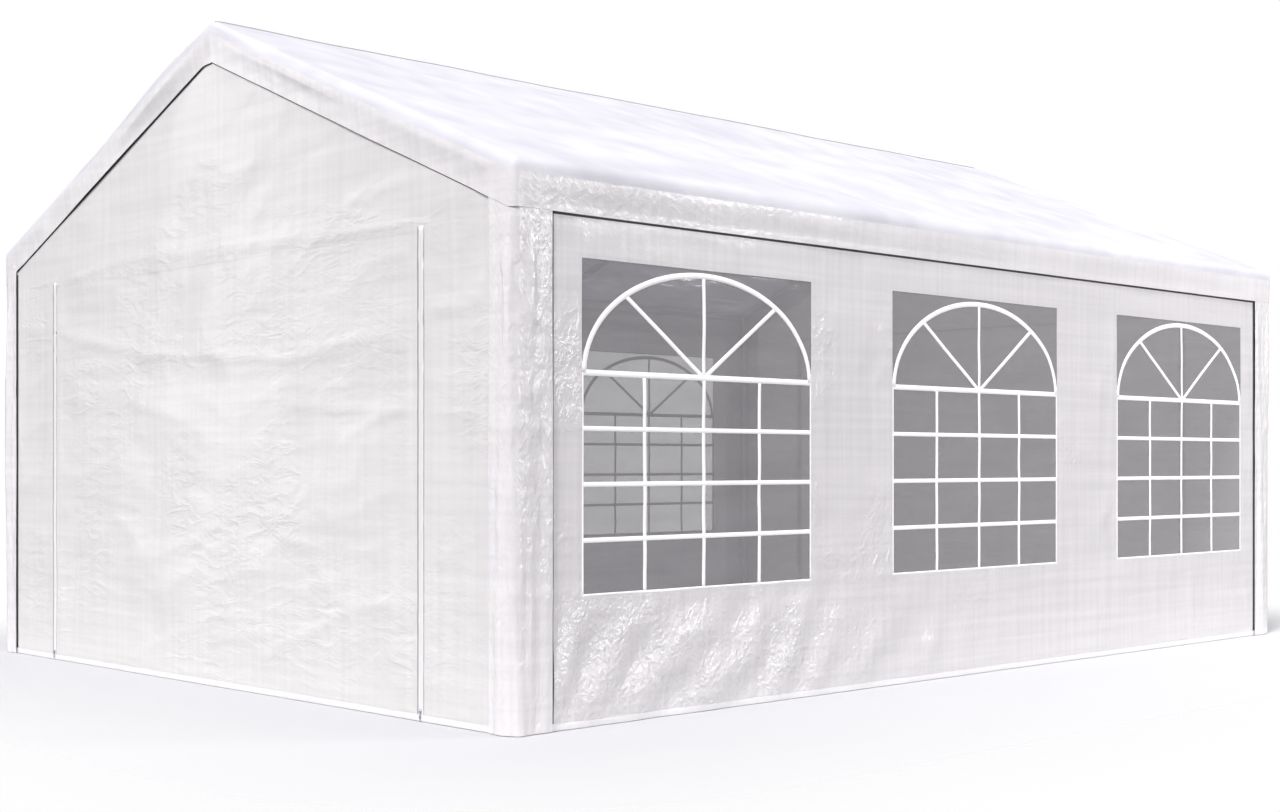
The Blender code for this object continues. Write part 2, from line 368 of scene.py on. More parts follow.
def join_all(name: str, parts: Sequence[Thing]) -> Thing:
    """One object made of several, under a name.

    Args:
        name: name of the joined object.
        parts: mesh objects without modifiers, which are used up.

    Returns:
        The joined object.
    """
    points: list[Array] = []
    faces: list[list[int]] = []
    start = 0
    for part in parts:
        mesh = part.data
        points.append(vertices_of(mesh))
        faces += [[start + i for i in face.vertices] for face in mesh.polygons]
        start += len(mesh.vertices)
        bpy.data.objects.remove(part)
        bpy.data.meshes.remove(mesh)
    return object_from(name, np.concatenate(points), faces)


def dress(obj: Thing, finish: Finish) -> None:
    """Gives an object its finish, and makes it ride on the tent."""
    obj.data.materials.clear()
    obj.data.materials.append(finish.material())
    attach(obj, BODY)


def stand_for(
    node: str,
    sheet: Thing,
    finish: Finish,
    thickness: float = SHEET_THICKNESS,
) -> None:
    """Makes a sheet a closed solid that is dressed and stands for a CAD node.

    Args:
        node: name of the CAD node.
        sheet: the sheet, which thickens from its outer face inwards.
        finish: what it is made of.
        thickness: how thick it becomes.
    """
    solid = sheet.modifiers.new("thickness", "SOLIDIFY")
    solid.thickness = thickness
    solid.offset = -1.0
    solid.use_even_offset = False
    solid.use_rim = True
    dress(sheet, finish)
    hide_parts(node)


def srgb(code: str) -> Box:
    """Linear colour of an sRGB hex code such as F2F2F4."""
    channels = [int(code[i : i + 2], 16) / 255 for i in (0, 2, 4)]
    linear = [c / 12.92 if c <= 0.04045 else ((c + 0.055) / 1.055) ** 2.4 for c in channels]
    return (*linear, 1.0)


def add_node(
    tree: Tree, kind: str, inputs: dict[str | int, Any] | None = None, **settings: Any
) -> Node:
    """Adds a shader node with its settings and links.

    Args:
        tree: node tree that takes the node.
        kind: class of the node, without its ShaderNode prefix.
        inputs: for each input, by name or number, a value, an output socket, or a node for
            its first output.
        settings: properties of the node.

    Returns:
        The new node.
    """
    node = tree.nodes.new("ShaderNode" + kind)
    for key, value in settings.items():
        setattr(node, key, value)
    for key, value in (inputs or {}).items():
        if isinstance(value, Node):
            value = value.outputs[0]
        if isinstance(value, Socket):
            tree.links.new(value, node.inputs[key])
        else:
            node.inputs[key].default_value = value
    return node


def empty_tree(owner: bpy.types.Material | bpy.types.World) -> Tree:
    """The node tree of a material or a world, switched on and emptied."""
    owner.use_nodes = True
    owner.node_tree.nodes.clear()
    return owner.node_tree


def blotched(
    tree: Tree, place: Socket, size: float, detail: float, worn: str, fresh: str
) -> Socket:
    """A colour that wanders between two in soft blotches.

    Args:
        tree: node tree of the material.
        place: coordinates in metres.
        size: size of a blotch in metres.
        detail: how many finer layers they have.
        worn: sRGB code of one colour.
        fresh: sRGB code of the other.

    Returns:
        The socket that gives the colour.
    """
    blotch = add_node(tree, "TexNoise", {"Vector": place, "Scale": 1.0 / size, "Detail": detail})
    colours = {"Factor": blotch, 6: srgb(worn), 7: srgb(fresh)}
    return add_node(tree, "Mix", colours, data_type="RGBA").outputs[2]


def grained(tree: Tree, place: Socket, size: float, rise: float) -> Node:
    """Bump of a fine grain, from its real size and height in metres."""
    grain = add_node(tree, "TexNoise", {"Vector": place, "Scale": 1.0 / size, "Detail": 1.0})
    height = add_node(tree, "Math", {0: grain, 1: rise}, operation="MULTIPLY")
    return add_node(tree, "Bump", {"Height": height, "Distance": 1.0, "Strength": 1.0})


# Finishes.


class Finish:
    """A finish of the tent or the studio, made into a material once, under its name."""

    name: str

    def surface(self, tree: Tree, place: Socket) -> Node:
        """Adds the nodes of the finish.

        Args:
            tree: node tree of the material.
            place: coordinates in metres.

        Returns:
            The shader.
        """
        raise NotImplementedError

    def material(self) -> bpy.types.Material:
        """The Blender material."""
        material = bpy.data.materials.get(self.name)
        if material is None:
            material = bpy.data.materials.new(self.name)
            tree = empty_tree(material)
            place = add_node(tree, "TexCoord").outputs["Object"]
            add_node(tree, "OutputMaterial", {"Surface": self.surface(tree, place)})
        return material


@dataclass(frozen=True)
class LaminatedTarpaulin(Finish):
    """White woven polyethylene tape cloth, laminated with a clear film on both faces.

    The film gives a gloss that flashes off every small crinkle which faces a light, and the
    tape cloth a faint plaid of lighter and darker runs. Light comes through it, so the inside
    of the tent is pale grey. The "creased" attribute of a sheet says where it is crinkled.
    """

    name: str
    light: str = "F6F5F7"
    shade: str = "ECEBED"
    crinkle_size: float = 48 * MM
    crinkle_slope: float = 0.15
    fine_size: float = 24 * MM
    fine_slope: float = 0.04
    stretch: Triple = (1.0, 1.0, 1.0)
    gloss: Pair = (0.36, 0.5)
    coat: float = 0.6
    coat_gloss: float = 0.14
    through: float = 0.34
    run_width: float = 30 * MM
    runs_a_metre: float = 1.1

    def height(self, tree: Tree, place: Socket) -> Node:
        """Height of the crinkles, in metres: sharp crests, smooth hollows and small dimples.

        Args:
            tree: node tree of the material.
            place: coordinates in metres.

        Returns:
            The node that gives the height.
        """
        crests = add_node(
            tree,
            "TexNoise",
            {
                "Vector": add_node(tree, "Mapping", {"Vector": place, "Scale": self.stretch}),
                "Scale": 1.0 / self.crinkle_size,
                "Detail": 2.0,
                "Roughness": 0.5,
                "Lacunarity": 2.4,
                "Distortion": 0.5,
                "Offset": 1.0,
                "Gain": 2.0,
            },
            noise_type="RIDGED_MULTIFRACTAL",
        )
        rise = self.crinkle_size * self.crinkle_slope / 3
        coarse = add_node(tree, "Math", {0: crests, 1: rise}, operation="MULTIPLY")
        fine = {"Vector": place, "Scale": 1.0 / self.fine_size, "Detail": 1.0}
        dimples = add_node(tree, "TexNoise", fine)
        fine_rise = self.fine_size * self.fine_slope
        both = add_node(tree, "Math", {0: dimples, 1: fine_rise, 2: coarse}, operation="MULTIPLY_ADD")
        creased = add_node(tree, "Attribute", attribute_name="creased").outputs["Fac"]
        return add_node(tree, "Math", {0: both, 1: creased}, operation="MULTIPLY")

    def runs(self, tree: Tree, place: Socket) -> Node:
        """Long faint runs of thicker and thinner tape, upright and level, from 0 to 1.

        The real tapes are 2 mm wide, too fine to show, so the runs are drawn wider.

        Args:
            tree: node tree of the material.
            place: coordinates in metres.

        Returns:
            The node that gives the runs.
        """
        long, fine = self.runs_a_metre, 1.0 / self.run_width
        level, upright = (
            add_node(
                tree,
                "TexNoise",
                {
                    "Vector": add_node(tree, "Mapping", {"Vector": place, "Scale": scale}),
                    "Scale": 1.0,
                    "Detail": 1.0,
                },
            )
            for scale in ((long, long, fine), (fine, fine, long))
        )
        pair = add_node(tree, "Math", {0: level, 1: upright}, operation="ADD")
        return add_node(tree, "MapRange", {"Value": pair, "From Min": 0.7, "From Max": 1.3})

    def surface(self, tree: Tree, place: Socket) -> Node:
        """Adds the film, its crinkles and the light that comes through the cloth."""
        runs = self.runs(tree, place)
        colours = {"Factor": runs, 6: srgb(self.shade), 7: srgb(self.light)}
        colour = add_node(tree, "Mix", colours, data_type="RGBA").outputs[2]
        smoother, rougher = self.gloss
        gloss = {"Value": runs, "To Min": rougher, "To Max": smoother}
        height = self.height(tree, place)
        bump = add_node(tree, "Bump", {"Height": height, "Distance": 1.0, "Strength": 1.0})
        skin = add_node(
            tree,
            "BsdfPrincipled",
            {
                "Base Color": colour,
                "Roughness": add_node(tree, "MapRange", gloss),
                "Normal": bump,
                "IOR": 1.45,
                "Coat Weight": self.coat,
                "Coat Roughness": self.coat_gloss,
                "Coat Normal": bump,
            },
        )
        glow = add_node(tree, "BsdfTranslucent", {"Color": colour})
        return add_node(tree, "MixShader", {0: self.through, 1: skin, 2: glow})


@dataclass(frozen=True)
class ClearVinylFilm(Finish):
    """Clear plasticised PVC film, calendered, 0.5 mm thick.

    It is grey and hazy against the white cloth: partly the film's own haze, partly painted shade of
    the dim inside seen through it. It is glossy, with long level ripples and faint clouding from
    having been folded.
    """

    name: str = "clear_vinyl_film_calendered"
    # Grey of the film's part-opaque cover: partly its own haze, partly painted shade of the dim
    # inside.
    tint: str = "AAA8AB"
    cover: Pair = (0.32, 0.38)
    stretch: Triple = (1.2, 1.2, 7.0)
    ripple_height: float = 4 * MM

    def surface(self, tree: Tree, place: Socket) -> Node:
        """Adds the tinted film, its clouding and its ripples."""
        mapped = add_node(tree, "Mapping", {"Vector": place, "Scale": self.stretch})
        ripples = add_node(tree, "TexNoise", {"Vector": mapped, "Scale": 1.6, "Detail": 4.0})
        thin, thick = self.cover
        spread = {"From Min": 0.35, "From Max": 0.7, "To Min": thin, "To Max": thick}
        cloud = add_node(tree, "MapRange", {"Value": ripples, **spread})
        height = add_node(tree, "Math", {0: ripples, 1: self.ripple_height}, operation="MULTIPLY")
        return add_node(
            tree,
            "BsdfPrincipled",
            {
                "Base Color": srgb(self.tint),
                "Roughness": 0.12,
                "IOR": 1.53,
                "Alpha": cloud,
                "Normal": add_node(
                    tree, "Bump", {"Height": height, "Distance": 1.0, "Strength": 1.0}
                ),
            },
        )


@dataclass(frozen=True)
class MouldedPlastic(Finish):
    """Opaque plastic, printed, moulded or woven into a strip: even, with a low gloss."""

    name: str
    colour: str
    worn: str
    roughness: float = 0.45
    blotch: float = 1 / 14
    grain: float = 3 * MM
    grain_height: float = 0.08 * MM

    def surface(self, tree: Tree, place: Socket) -> Node:
        """Adds the plastic with its faint blotches and grain."""
        return add_node(
            tree,
            "BsdfPrincipled",
            {
                "Base Color": blotched(tree, place, self.blotch, 3.0, self.worn, self.colour),
                "Roughness": self.roughness,
                "IOR": 1.5,
                "Normal": grained(tree, place, self.grain, self.grain_height),
            },
        )


@dataclass(frozen=True)
class PowderCoatedSteel(Finish):
    """Steel tube under a baked powder coat, which leaves a fine orange peel and a soft gloss."""

    name: str = "steel_tube_powder_coated"
    colour: str = "D9DADC"
    worn: str = "C3C5C9"
    blotch: float = 1 / 9
    peel: float = 4 * MM
    peel_height: float = 0.06 * MM

    def surface(self, tree: Tree, place: Socket) -> Node:
        """Adds the coat with its faint wear and orange peel."""
        return add_node(
            tree,
            "BsdfPrincipled",
            {
                "Base Color": blotched(tree, place, self.blotch, 4.0, self.worn, self.colour),
                "Roughness": 0.34,
                "IOR": 1.5,
                "Coat Weight": 0.2,
                "Coat Roughness": 0.2,
                "Normal": grained(tree, place, self.peel, self.peel_height),
            },
        )


@dataclass(frozen=True)
class ZincPlatedSteel(Finish):
    """Small steel fasteners, zinc plated: dull silver with a faint grain."""

    name: str = "steel_bolt_zinc_plated"
    colour: str = "B9BCC0"
    grain: float = 2 * MM
    gloss: Pair = (0.28, 0.42)

    def surface(self, tree: Tree, place: Socket) -> Node:
        """Adds the metal, duller and brighter from grain to grain."""
        grain = add_node(tree, "TexNoise", {"Vector": place, "Scale": 1 / self.grain, "Detail": 2.0})
        bright, dull = self.gloss
        rough = add_node(tree, "MapRange", {"Value": grain, "To Min": bright, "To Max": dull})
        metal = {"Base Color": srgb(self.colour), "Metallic": 1.0, "Roughness": rough}
        return add_node(tree, "BsdfPrincipled", metal)


# The slopes' copy of the tarpaulin is painted darker than the valances' copy, as painted shade against
# the light on the slopes. Its wide lighter and bluer runs paint soft bands of shade along them.
SLOPE_CLOTH_PAINTED_SHADE = LaminatedTarpaulin(
    "polyethylene_tarpaulin_roof", light="ECEBF1", shade="DBDAE3", crinkle_size=110 * MM,
    crinkle_slope=0.10, gloss=(0.54, 0.62), coat=0.25, coat_gloss=0.45, through=0.24,
    run_width=220 * MM,
)
VALANCE_CLOTH = LaminatedTarpaulin(
    "polyethylene_tarpaulin_valance", light="F4F1F4", shade="EAE7EA", crinkle_size=60 * MM,
    crinkle_slope=0.10, coat=0.4, through=0.24,
)
WALL_CLOTH = LaminatedTarpaulin(
    "polyethylene_tarpaulin_wall", light="F3F1F1", shade="ECEAEA", crinkle_size=100 * MM,
    crinkle_slope=0.085, fine_slope=0.06, stretch=(0.6, 0.6, 1.5), gloss=(0.42, 0.48), coat=0.42,
    coat_gloss=0.15,
)
SIDE_CLOTH = LaminatedTarpaulin(
    "polyethylene_tarpaulin_side", light="F2EFF1", shade="E8E5E7", crinkle_size=80 * MM,
    crinkle_slope=0.15, fine_size=20 * MM, fine_slope=0.31, stretch=(1.1, 1.1, 0.9), coat=0.9,
    coat_gloss=0.12, through=0.30,
)
SLEEVE_CLOTH = LaminatedTarpaulin(
    "polyethylene_tarpaulin_sleeve", light="F8F5F7", shade="EEEBED", crinkle_size=60 * MM,
    crinkle_slope=0.12, fine_slope=0.08, stretch=(1.2, 1.2, 0.5), through=0.26,
)
DOUBLE_CLOTH = LaminatedTarpaulin(
    "polyethylene_tarpaulin_doubled", light="EAE8EA", shade="E3E1E3", through=0.08
)
CLEAR_FILM = ClearVinylFilm()
WHITE_PRINT = MouldedPlastic("vinyl_bar_printed", colour="FEFEFE", worn="FAF9FB", grain=8 * MM)
ZIP_TAPE = MouldedPlastic("polyester_tape_woven", colour="E2E0E2", worn="DDDBDD", roughness=0.5)
ZIP_COIL = MouldedPlastic("nylon_coil_moulded", colour="DEDCDE", worn="D9D7D9", roughness=0.45)
THREAD = MouldedPlastic("polyester_thread_spun", colour="E6E5E8", worn="DAD9DC", roughness=0.7)
# Painted shade: the ridge seam's cord is grey so that it stands for its shaded edge on the skyline.
SHADED_SEAM_CORD = MouldedPlastic("polyethylene_cord_painted_shade", colour="A3A2A7", worn="98979C")
# Near-black tape that paints the shadow line in the gaps where the walls hang behind the valances and
# sleeves.
SHADOW_LINE_TAPE = MouldedPlastic(
    "polypropylene_tape_painted_shadow", colour="4A494C", worn="3C3B3E", roughness=0.7
)
STEEL = PowderCoatedSteel()
ZINC = ZincPlatedSteel()


# Sizes and creases.


@dataclass(frozen=True)
class TentPlan:
    """Sizes of the tent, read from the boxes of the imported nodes."""

    half_width: float
    half_length: float
    valance_bottom: float
    wall_x: float
    wall_y: float
    side_half_length: float
    side_top: float
    gable_half_width: float
    gable_top: float
    hem_z: float
    door_half_width: float
    door_top: float
    sleeve_x: float
    sleeve_y: float
    sleeve_out_x: float
    sleeve_out_y: float
    sleeve_top: float
    windows: tuple[Box, ...]

    @classmethod
    def read(cls) -> TentPlan:
        """Reads the sizes from the frame."""
        roof_low, roof_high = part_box("roof_cover")
        side_low, side_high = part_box("side_wall_right")
        _, gable_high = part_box("gable_wall_back")
        _, door_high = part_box("door_flap_back")
        sleeve_low, sleeve_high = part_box("corner_sleeve_back_right")
        windows = []
        for number in (1, 2, 3):
            low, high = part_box(f"window_pane_right_{number}")
            windows.append((low.y, high.y, low.z, high.z))
        return cls(
            half_width=roof_high.x,
            half_length=roof_high.y,
            valance_bottom=roof_low.z,
            wall_x=side_high.x,
            wall_y=gable_high.y,
            side_half_length=side_high.y,
            side_top=side_high.z,
            gable_half_width=gable_high.x,
            gable_top=gable_high.z,
            hem_z=side_low.z,
            door_half_width=door_high.x,
            door_top=door_high.z,
            sleeve_x=sleeve_low.x,
            sleeve_y=sleeve_low.y,
            sleeve_out_x=sleeve_high.x,
            sleeve_out_y=sleeve_high.y,
            sleeve_top=sleeve_high.z,
            windows=tuple(windows),
        )

    @property
    def ridge(self) -> float:
        """Height of the sharp ridge line of the roof."""
        return self.gable_top + RIDGE_OVER_GABLE_WALL

    def rake(self, x: Array | float) -> Array:
        """Height of the roof's sharp outer surface at a place across the tent."""
        return self.ridge - ROOF_SLOPE * np.abs(x)

    def gable_valance_bottom(self, x: Array | float) -> Array:
        """Height of the lower edge of the gable valance at a place across the tent."""
        line = GABLE_VALANCE_APEX_Z - GABLE_VALANCE_SLOPE * np.abs(x)
        line = line + HIGHER_ON_THE_LEFT * smooth(-np.asarray(x), 0.0, APEX_STEP)
        return np.maximum(line, self.valance_bottom)


@dataclass(frozen=True)
class Fold:
    """One long fold at a known place: its bent line, and how high and wide it stands."""

    line: tuple[Pair, ...]
    rise: float
    width: float

    def height(self, u: Array, v: Array) -> Array:
        """How far the fold stands out at each place, with its ends fading out."""
        total = np.zeros_like(u)
        corners = np.array(self.line)
        lengths = np.linalg.norm(np.diff(corners, axis=0), axis=1)
        whole, gone = lengths.sum(), 0.0
        for start, end, length in zip(corners[:-1], corners[1:], lengths):
            run = (end - start) / length
            along = (u - start[0]) * run[0] + (v - start[1]) * run[1]
            clamped = np.clip(along, 0, length)
            away = np.hypot(u - start[0] - clamped * run[0], v - start[1] - clamped * run[1])
            share = (gone + clamped) / whole
            taper = smooth(np.minimum(share, 1 - share), 0.0, 0.15)
            total = np.maximum(total, taper * np.exp(-away / self.width))
            gone += length
        return self.rise * total


@dataclass(frozen=True)
class Wrinkles:
    """How far a creased sheet stands from its flat plane, in metres.

    Broad waves, single long creases with sharp crests, and a net of crumples whose crests
    are sharp and whose hollows are round.
    """

    seed: int
    wave_count: int = 11
    swell: float = 0.004
    swell_size: Pair = (1.4, 0.8)
    creases: int = 40
    crease_height: float = 0.004
    crease_reach: Pair = (0.2, 0.9)
    crease_width: Pair = (0.02, 0.05)
    crease_tilt: Pair = (0.0, 12.0)
    crumple: float = 0.003
    crumple_size: Pair = (0.34, 0.22)
    folds: tuple[Fold, ...] = ()

    def waves(self, u: Array, v: Array) -> Array:
        """Broad waves, between about -1 and 1."""
        rng = np.random.default_rng(self.seed)
        total = np.zeros_like(u)
        for _ in range(self.wave_count):
            angle = rng.uniform(0, 2 * math.pi)
            finer = rng.uniform(0.6, 2.6)
            along = 2 * math.pi * finer * math.cos(angle) / self.swell_size[0]
            across = 2 * math.pi * finer * math.sin(angle) / self.swell_size[1]
            total += np.sin(along * u + across * v + rng.uniform(0, 2 * math.pi)) / finer
        return total / math.sqrt(self.wave_count)

    def crests(self, u: Array, v: Array, extent: Box) -> Array:
        """Long single creases, between about -1 and 1.

        Args:
            u: places across the sheet.
            v: places up the sheet.
            extent: (low u, high u, low v, high v) that the creases are spread over.

        Returns:
            The height at each place.
        """
        rng = np.random.default_rng(self.seed + 1)
        total = np.zeros_like(u)
        for _ in range(self.creases):
            middle_u = rng.uniform(extent[0], extent[1])
            middle_v = rng.uniform(extent[2], extent[3])
            angle = math.radians(rng.normal(*self.crease_tilt))
            reach = rng.uniform(*self.crease_reach)
            width = rng.uniform(*self.crease_width)
            rise = rng.uniform(0.3, 1.0) * rng.choice((-1.0, 1.0, 1.0))
            bow = rng.normal(0, 0.05)
            off_u, off_v = u - middle_u, v - middle_v
            along = (off_u * math.cos(angle) + off_v * math.sin(angle)) / reach
            across = -off_u * math.sin(angle) + off_v * math.cos(angle) + bow * along**2
            taper = np.clip(1 - along**2, 0, None) ** 2
            total += rise * taper * np.exp(-np.abs(across) / width)
        return total

    def net(self, u: Array, v: Array) -> Array:
        """A net of crumples, from 0 in the hollows to about 1 on the crests."""
        bent_u = u + 0.05 * np.sin(9 * v + self.seed) + 0.03 * np.sin(17 * u + 5 * v)
        bent_v = v + 0.05 * np.sin(8 * u + 2 * self.seed) + 0.03 * np.sin(19 * v - 4 * u)
        grid_u, grid_v = bent_u / self.crumple_size[0], bent_v / self.crumple_size[1]
        cell_u, cell_v = np.floor(grid_u), np.floor(grid_v)
        nearest = np.full_like(u, np.inf)
        for step_u in (-1, 0, 1):
            for step_v in (-1, 0, 1):
                at_u, at_v = cell_u + step_u, cell_v + step_v
                point_u = at_u + self.scatter(at_u, at_v, 1)
                point_v = at_v + self.scatter(at_u, at_v, 2)
                away = (grid_u - point_u) ** 2 + (grid_v - point_v) ** 2
                nearest = np.minimum(nearest, away)
        return nearest

    def scatter(self, u: Array, v: Array, turn: int) -> Array:
        """A fixed number between 0 and 1 for each cell, from a sine of large steps."""
        mixed = np.sin(u * 127.1 + v * 311.7 + (self.seed + turn) * 74.7) * 43758.5453
        return mixed - np.floor(mixed)

    def height(self, u: Array, v: Array, extent: Box) -> Array:
        """The whole height in metres.

        Args:
            u: places across the sheet.
            v: places up the sheet.
            extent: (low u, high u, low v, high v) of the sheet.

        Returns:
            The height at each place.
        """
        total = self.swell * self.waves(u, v)
        if self.creases:
            total = total + self.crease_height * self.crests(u, v, extent)
        if self.crumple:
            patches = smooth(self.waves(v * 0.9 + 3.1, u * 0.9 - 1.7), -0.6, 0.9)
            total = total + self.crumple * self.net(u, v) * (0.35 + 0.65 * patches)
        for fold in self.folds:
            total = total + fold.height(u, v)
        return total


class Panel:
    """A creased wall or strip of the tent, with places on it given as (u, v)."""

    def point(self, u: Array, v: Array, lift: Array | float = 0.0) -> Array:
        """Points of the tent over places on the wall.

        Args:
            u: places across the wall.
            v: places up the wall.
            lift: how far the points lie outside the cloth.

        Returns:
            The points, one a row.
        """
        raise NotImplementedError


def along_and_across(steps: Array) -> tuple[Array, Array]:
    """Unit directions along and across a line on a wall, from the line's steps."""
    ahead = steps / np.linalg.norm(steps, axis=1)[:, None]
    return ahead, np.stack([-ahead[:, 1], ahead[:, 0]], axis=1)


def strip_on(
    panel: Panel,
    name: str,
    path: Array,
    width: float,
    thickness: float,
    lift: float,
    bevel: float = 0.0,
) -> Thing:
    """A flat strip that lies on a wall and follows its creases.

    Args:
        panel: the wall.
        name: name of the strip.
        path: the strip's middle line, as (u, v).
        width: width of the strip.
        thickness: how thick it is.
        lift: how far its underside lies off the cloth.
        bevel: how far the top edges are drawn in.

    Returns:
        The strip as a closed solid.
    """
    _, across = along_and_across(np.gradient(path, axis=0))
    half, top = width / 2, lift + thickness
    rings = []
    for offset, rise in ((-half, lift), (half, lift), (half - bevel, top), (-half + bevel, top)):
        at = path + across * offset
        rings.append(panel.point(at[:, 0], at[:, 1], rise))
    faces = ring_faces(len(path), len(rings))
    return solid_from(name, np.stack(rings, axis=1), faces, sharp=True)


@dataclass(frozen=True)
class Stitching:
    """Sewn rows: each stitch a small ridged block, with a gap before the next one."""

    pitch: float = STITCH_PITCH
    length: float = 0.66 * STITCH_PITCH
    half_width: float = 0.55 * MM
    rise: float = 0.45 * MM
    off_cloth: float = 0.05 * MM
    corners: tuple[Triple, ...] = (
        (-1, -1, 0), (1, -1, 0), (1, 1, 0), (-1, 1, 0), (-0.7, 0, 1), (0.7, 0, 1)
    )
    faces: tuple[tuple[int, ...], ...] = (
        (3, 2, 1, 0), (0, 1, 5, 4), (2, 3, 4, 5), (1, 2, 5), (3, 0, 4)
    )

    def sew(
        self, panel: Panel, name: str, lines: Sequence[Sequence[Pair]], lift: float = 0.0
    ) -> None:
        """Sews rows of stitches on a wall.

        Args:
            panel: the wall.
            name: name of the stitching.
            lines: corners of each row, as (u, v).
            lift: how far the sewn layer's top lies off the wall's cloth.
        """
        blocks = []
        for line in lines:
            path = along_path(line, self.pitch)
            middles = (path[:-1] + path[1:]) / 2
            ahead, across = along_and_across(path[1:] - path[:-1])
            corners = []
            for forward, sideways, up in self.corners:
                at = middles + ahead * forward * self.length / 2 + across * sideways * self.half_width
                rise = up * self.rise + self.off_cloth
                corners.append(panel.point(at[:, 0], at[:, 1], lift + rise))
            blocks.append(np.stack(corners, axis=1))
        points = np.concatenate(blocks)
        faces = repeated(self.faces, len(self.corners), len(points))
        dress(solid_from(name, points, faces), THREAD)


@dataclass(frozen=True)
class Hem:
    """Doubled hem along the foot of a wall: cloth turned up, so no light comes through it."""

    middle_z: float = 15 * MM
    width: float = 26 * MM
    thickness: float = 0.5 * MM
    bevel: float = 4 * MM
    short_of_edge: float = 6 * MM

    def lay(self, panel: Panel, name: str, half: float) -> None:
        """Lays the hem on a wall, from a half of its width on one side to the other."""
        reach = half - self.short_of_edge
        path = along_path([(-reach, self.middle_z), (reach, self.middle_z)], STRIP_STEP)
        hem = strip_on(panel, name, path, self.width, self.thickness, CLEARANCE, self.bevel)
        dress(hem, DOUBLE_CLOTH)


# The roof cover.


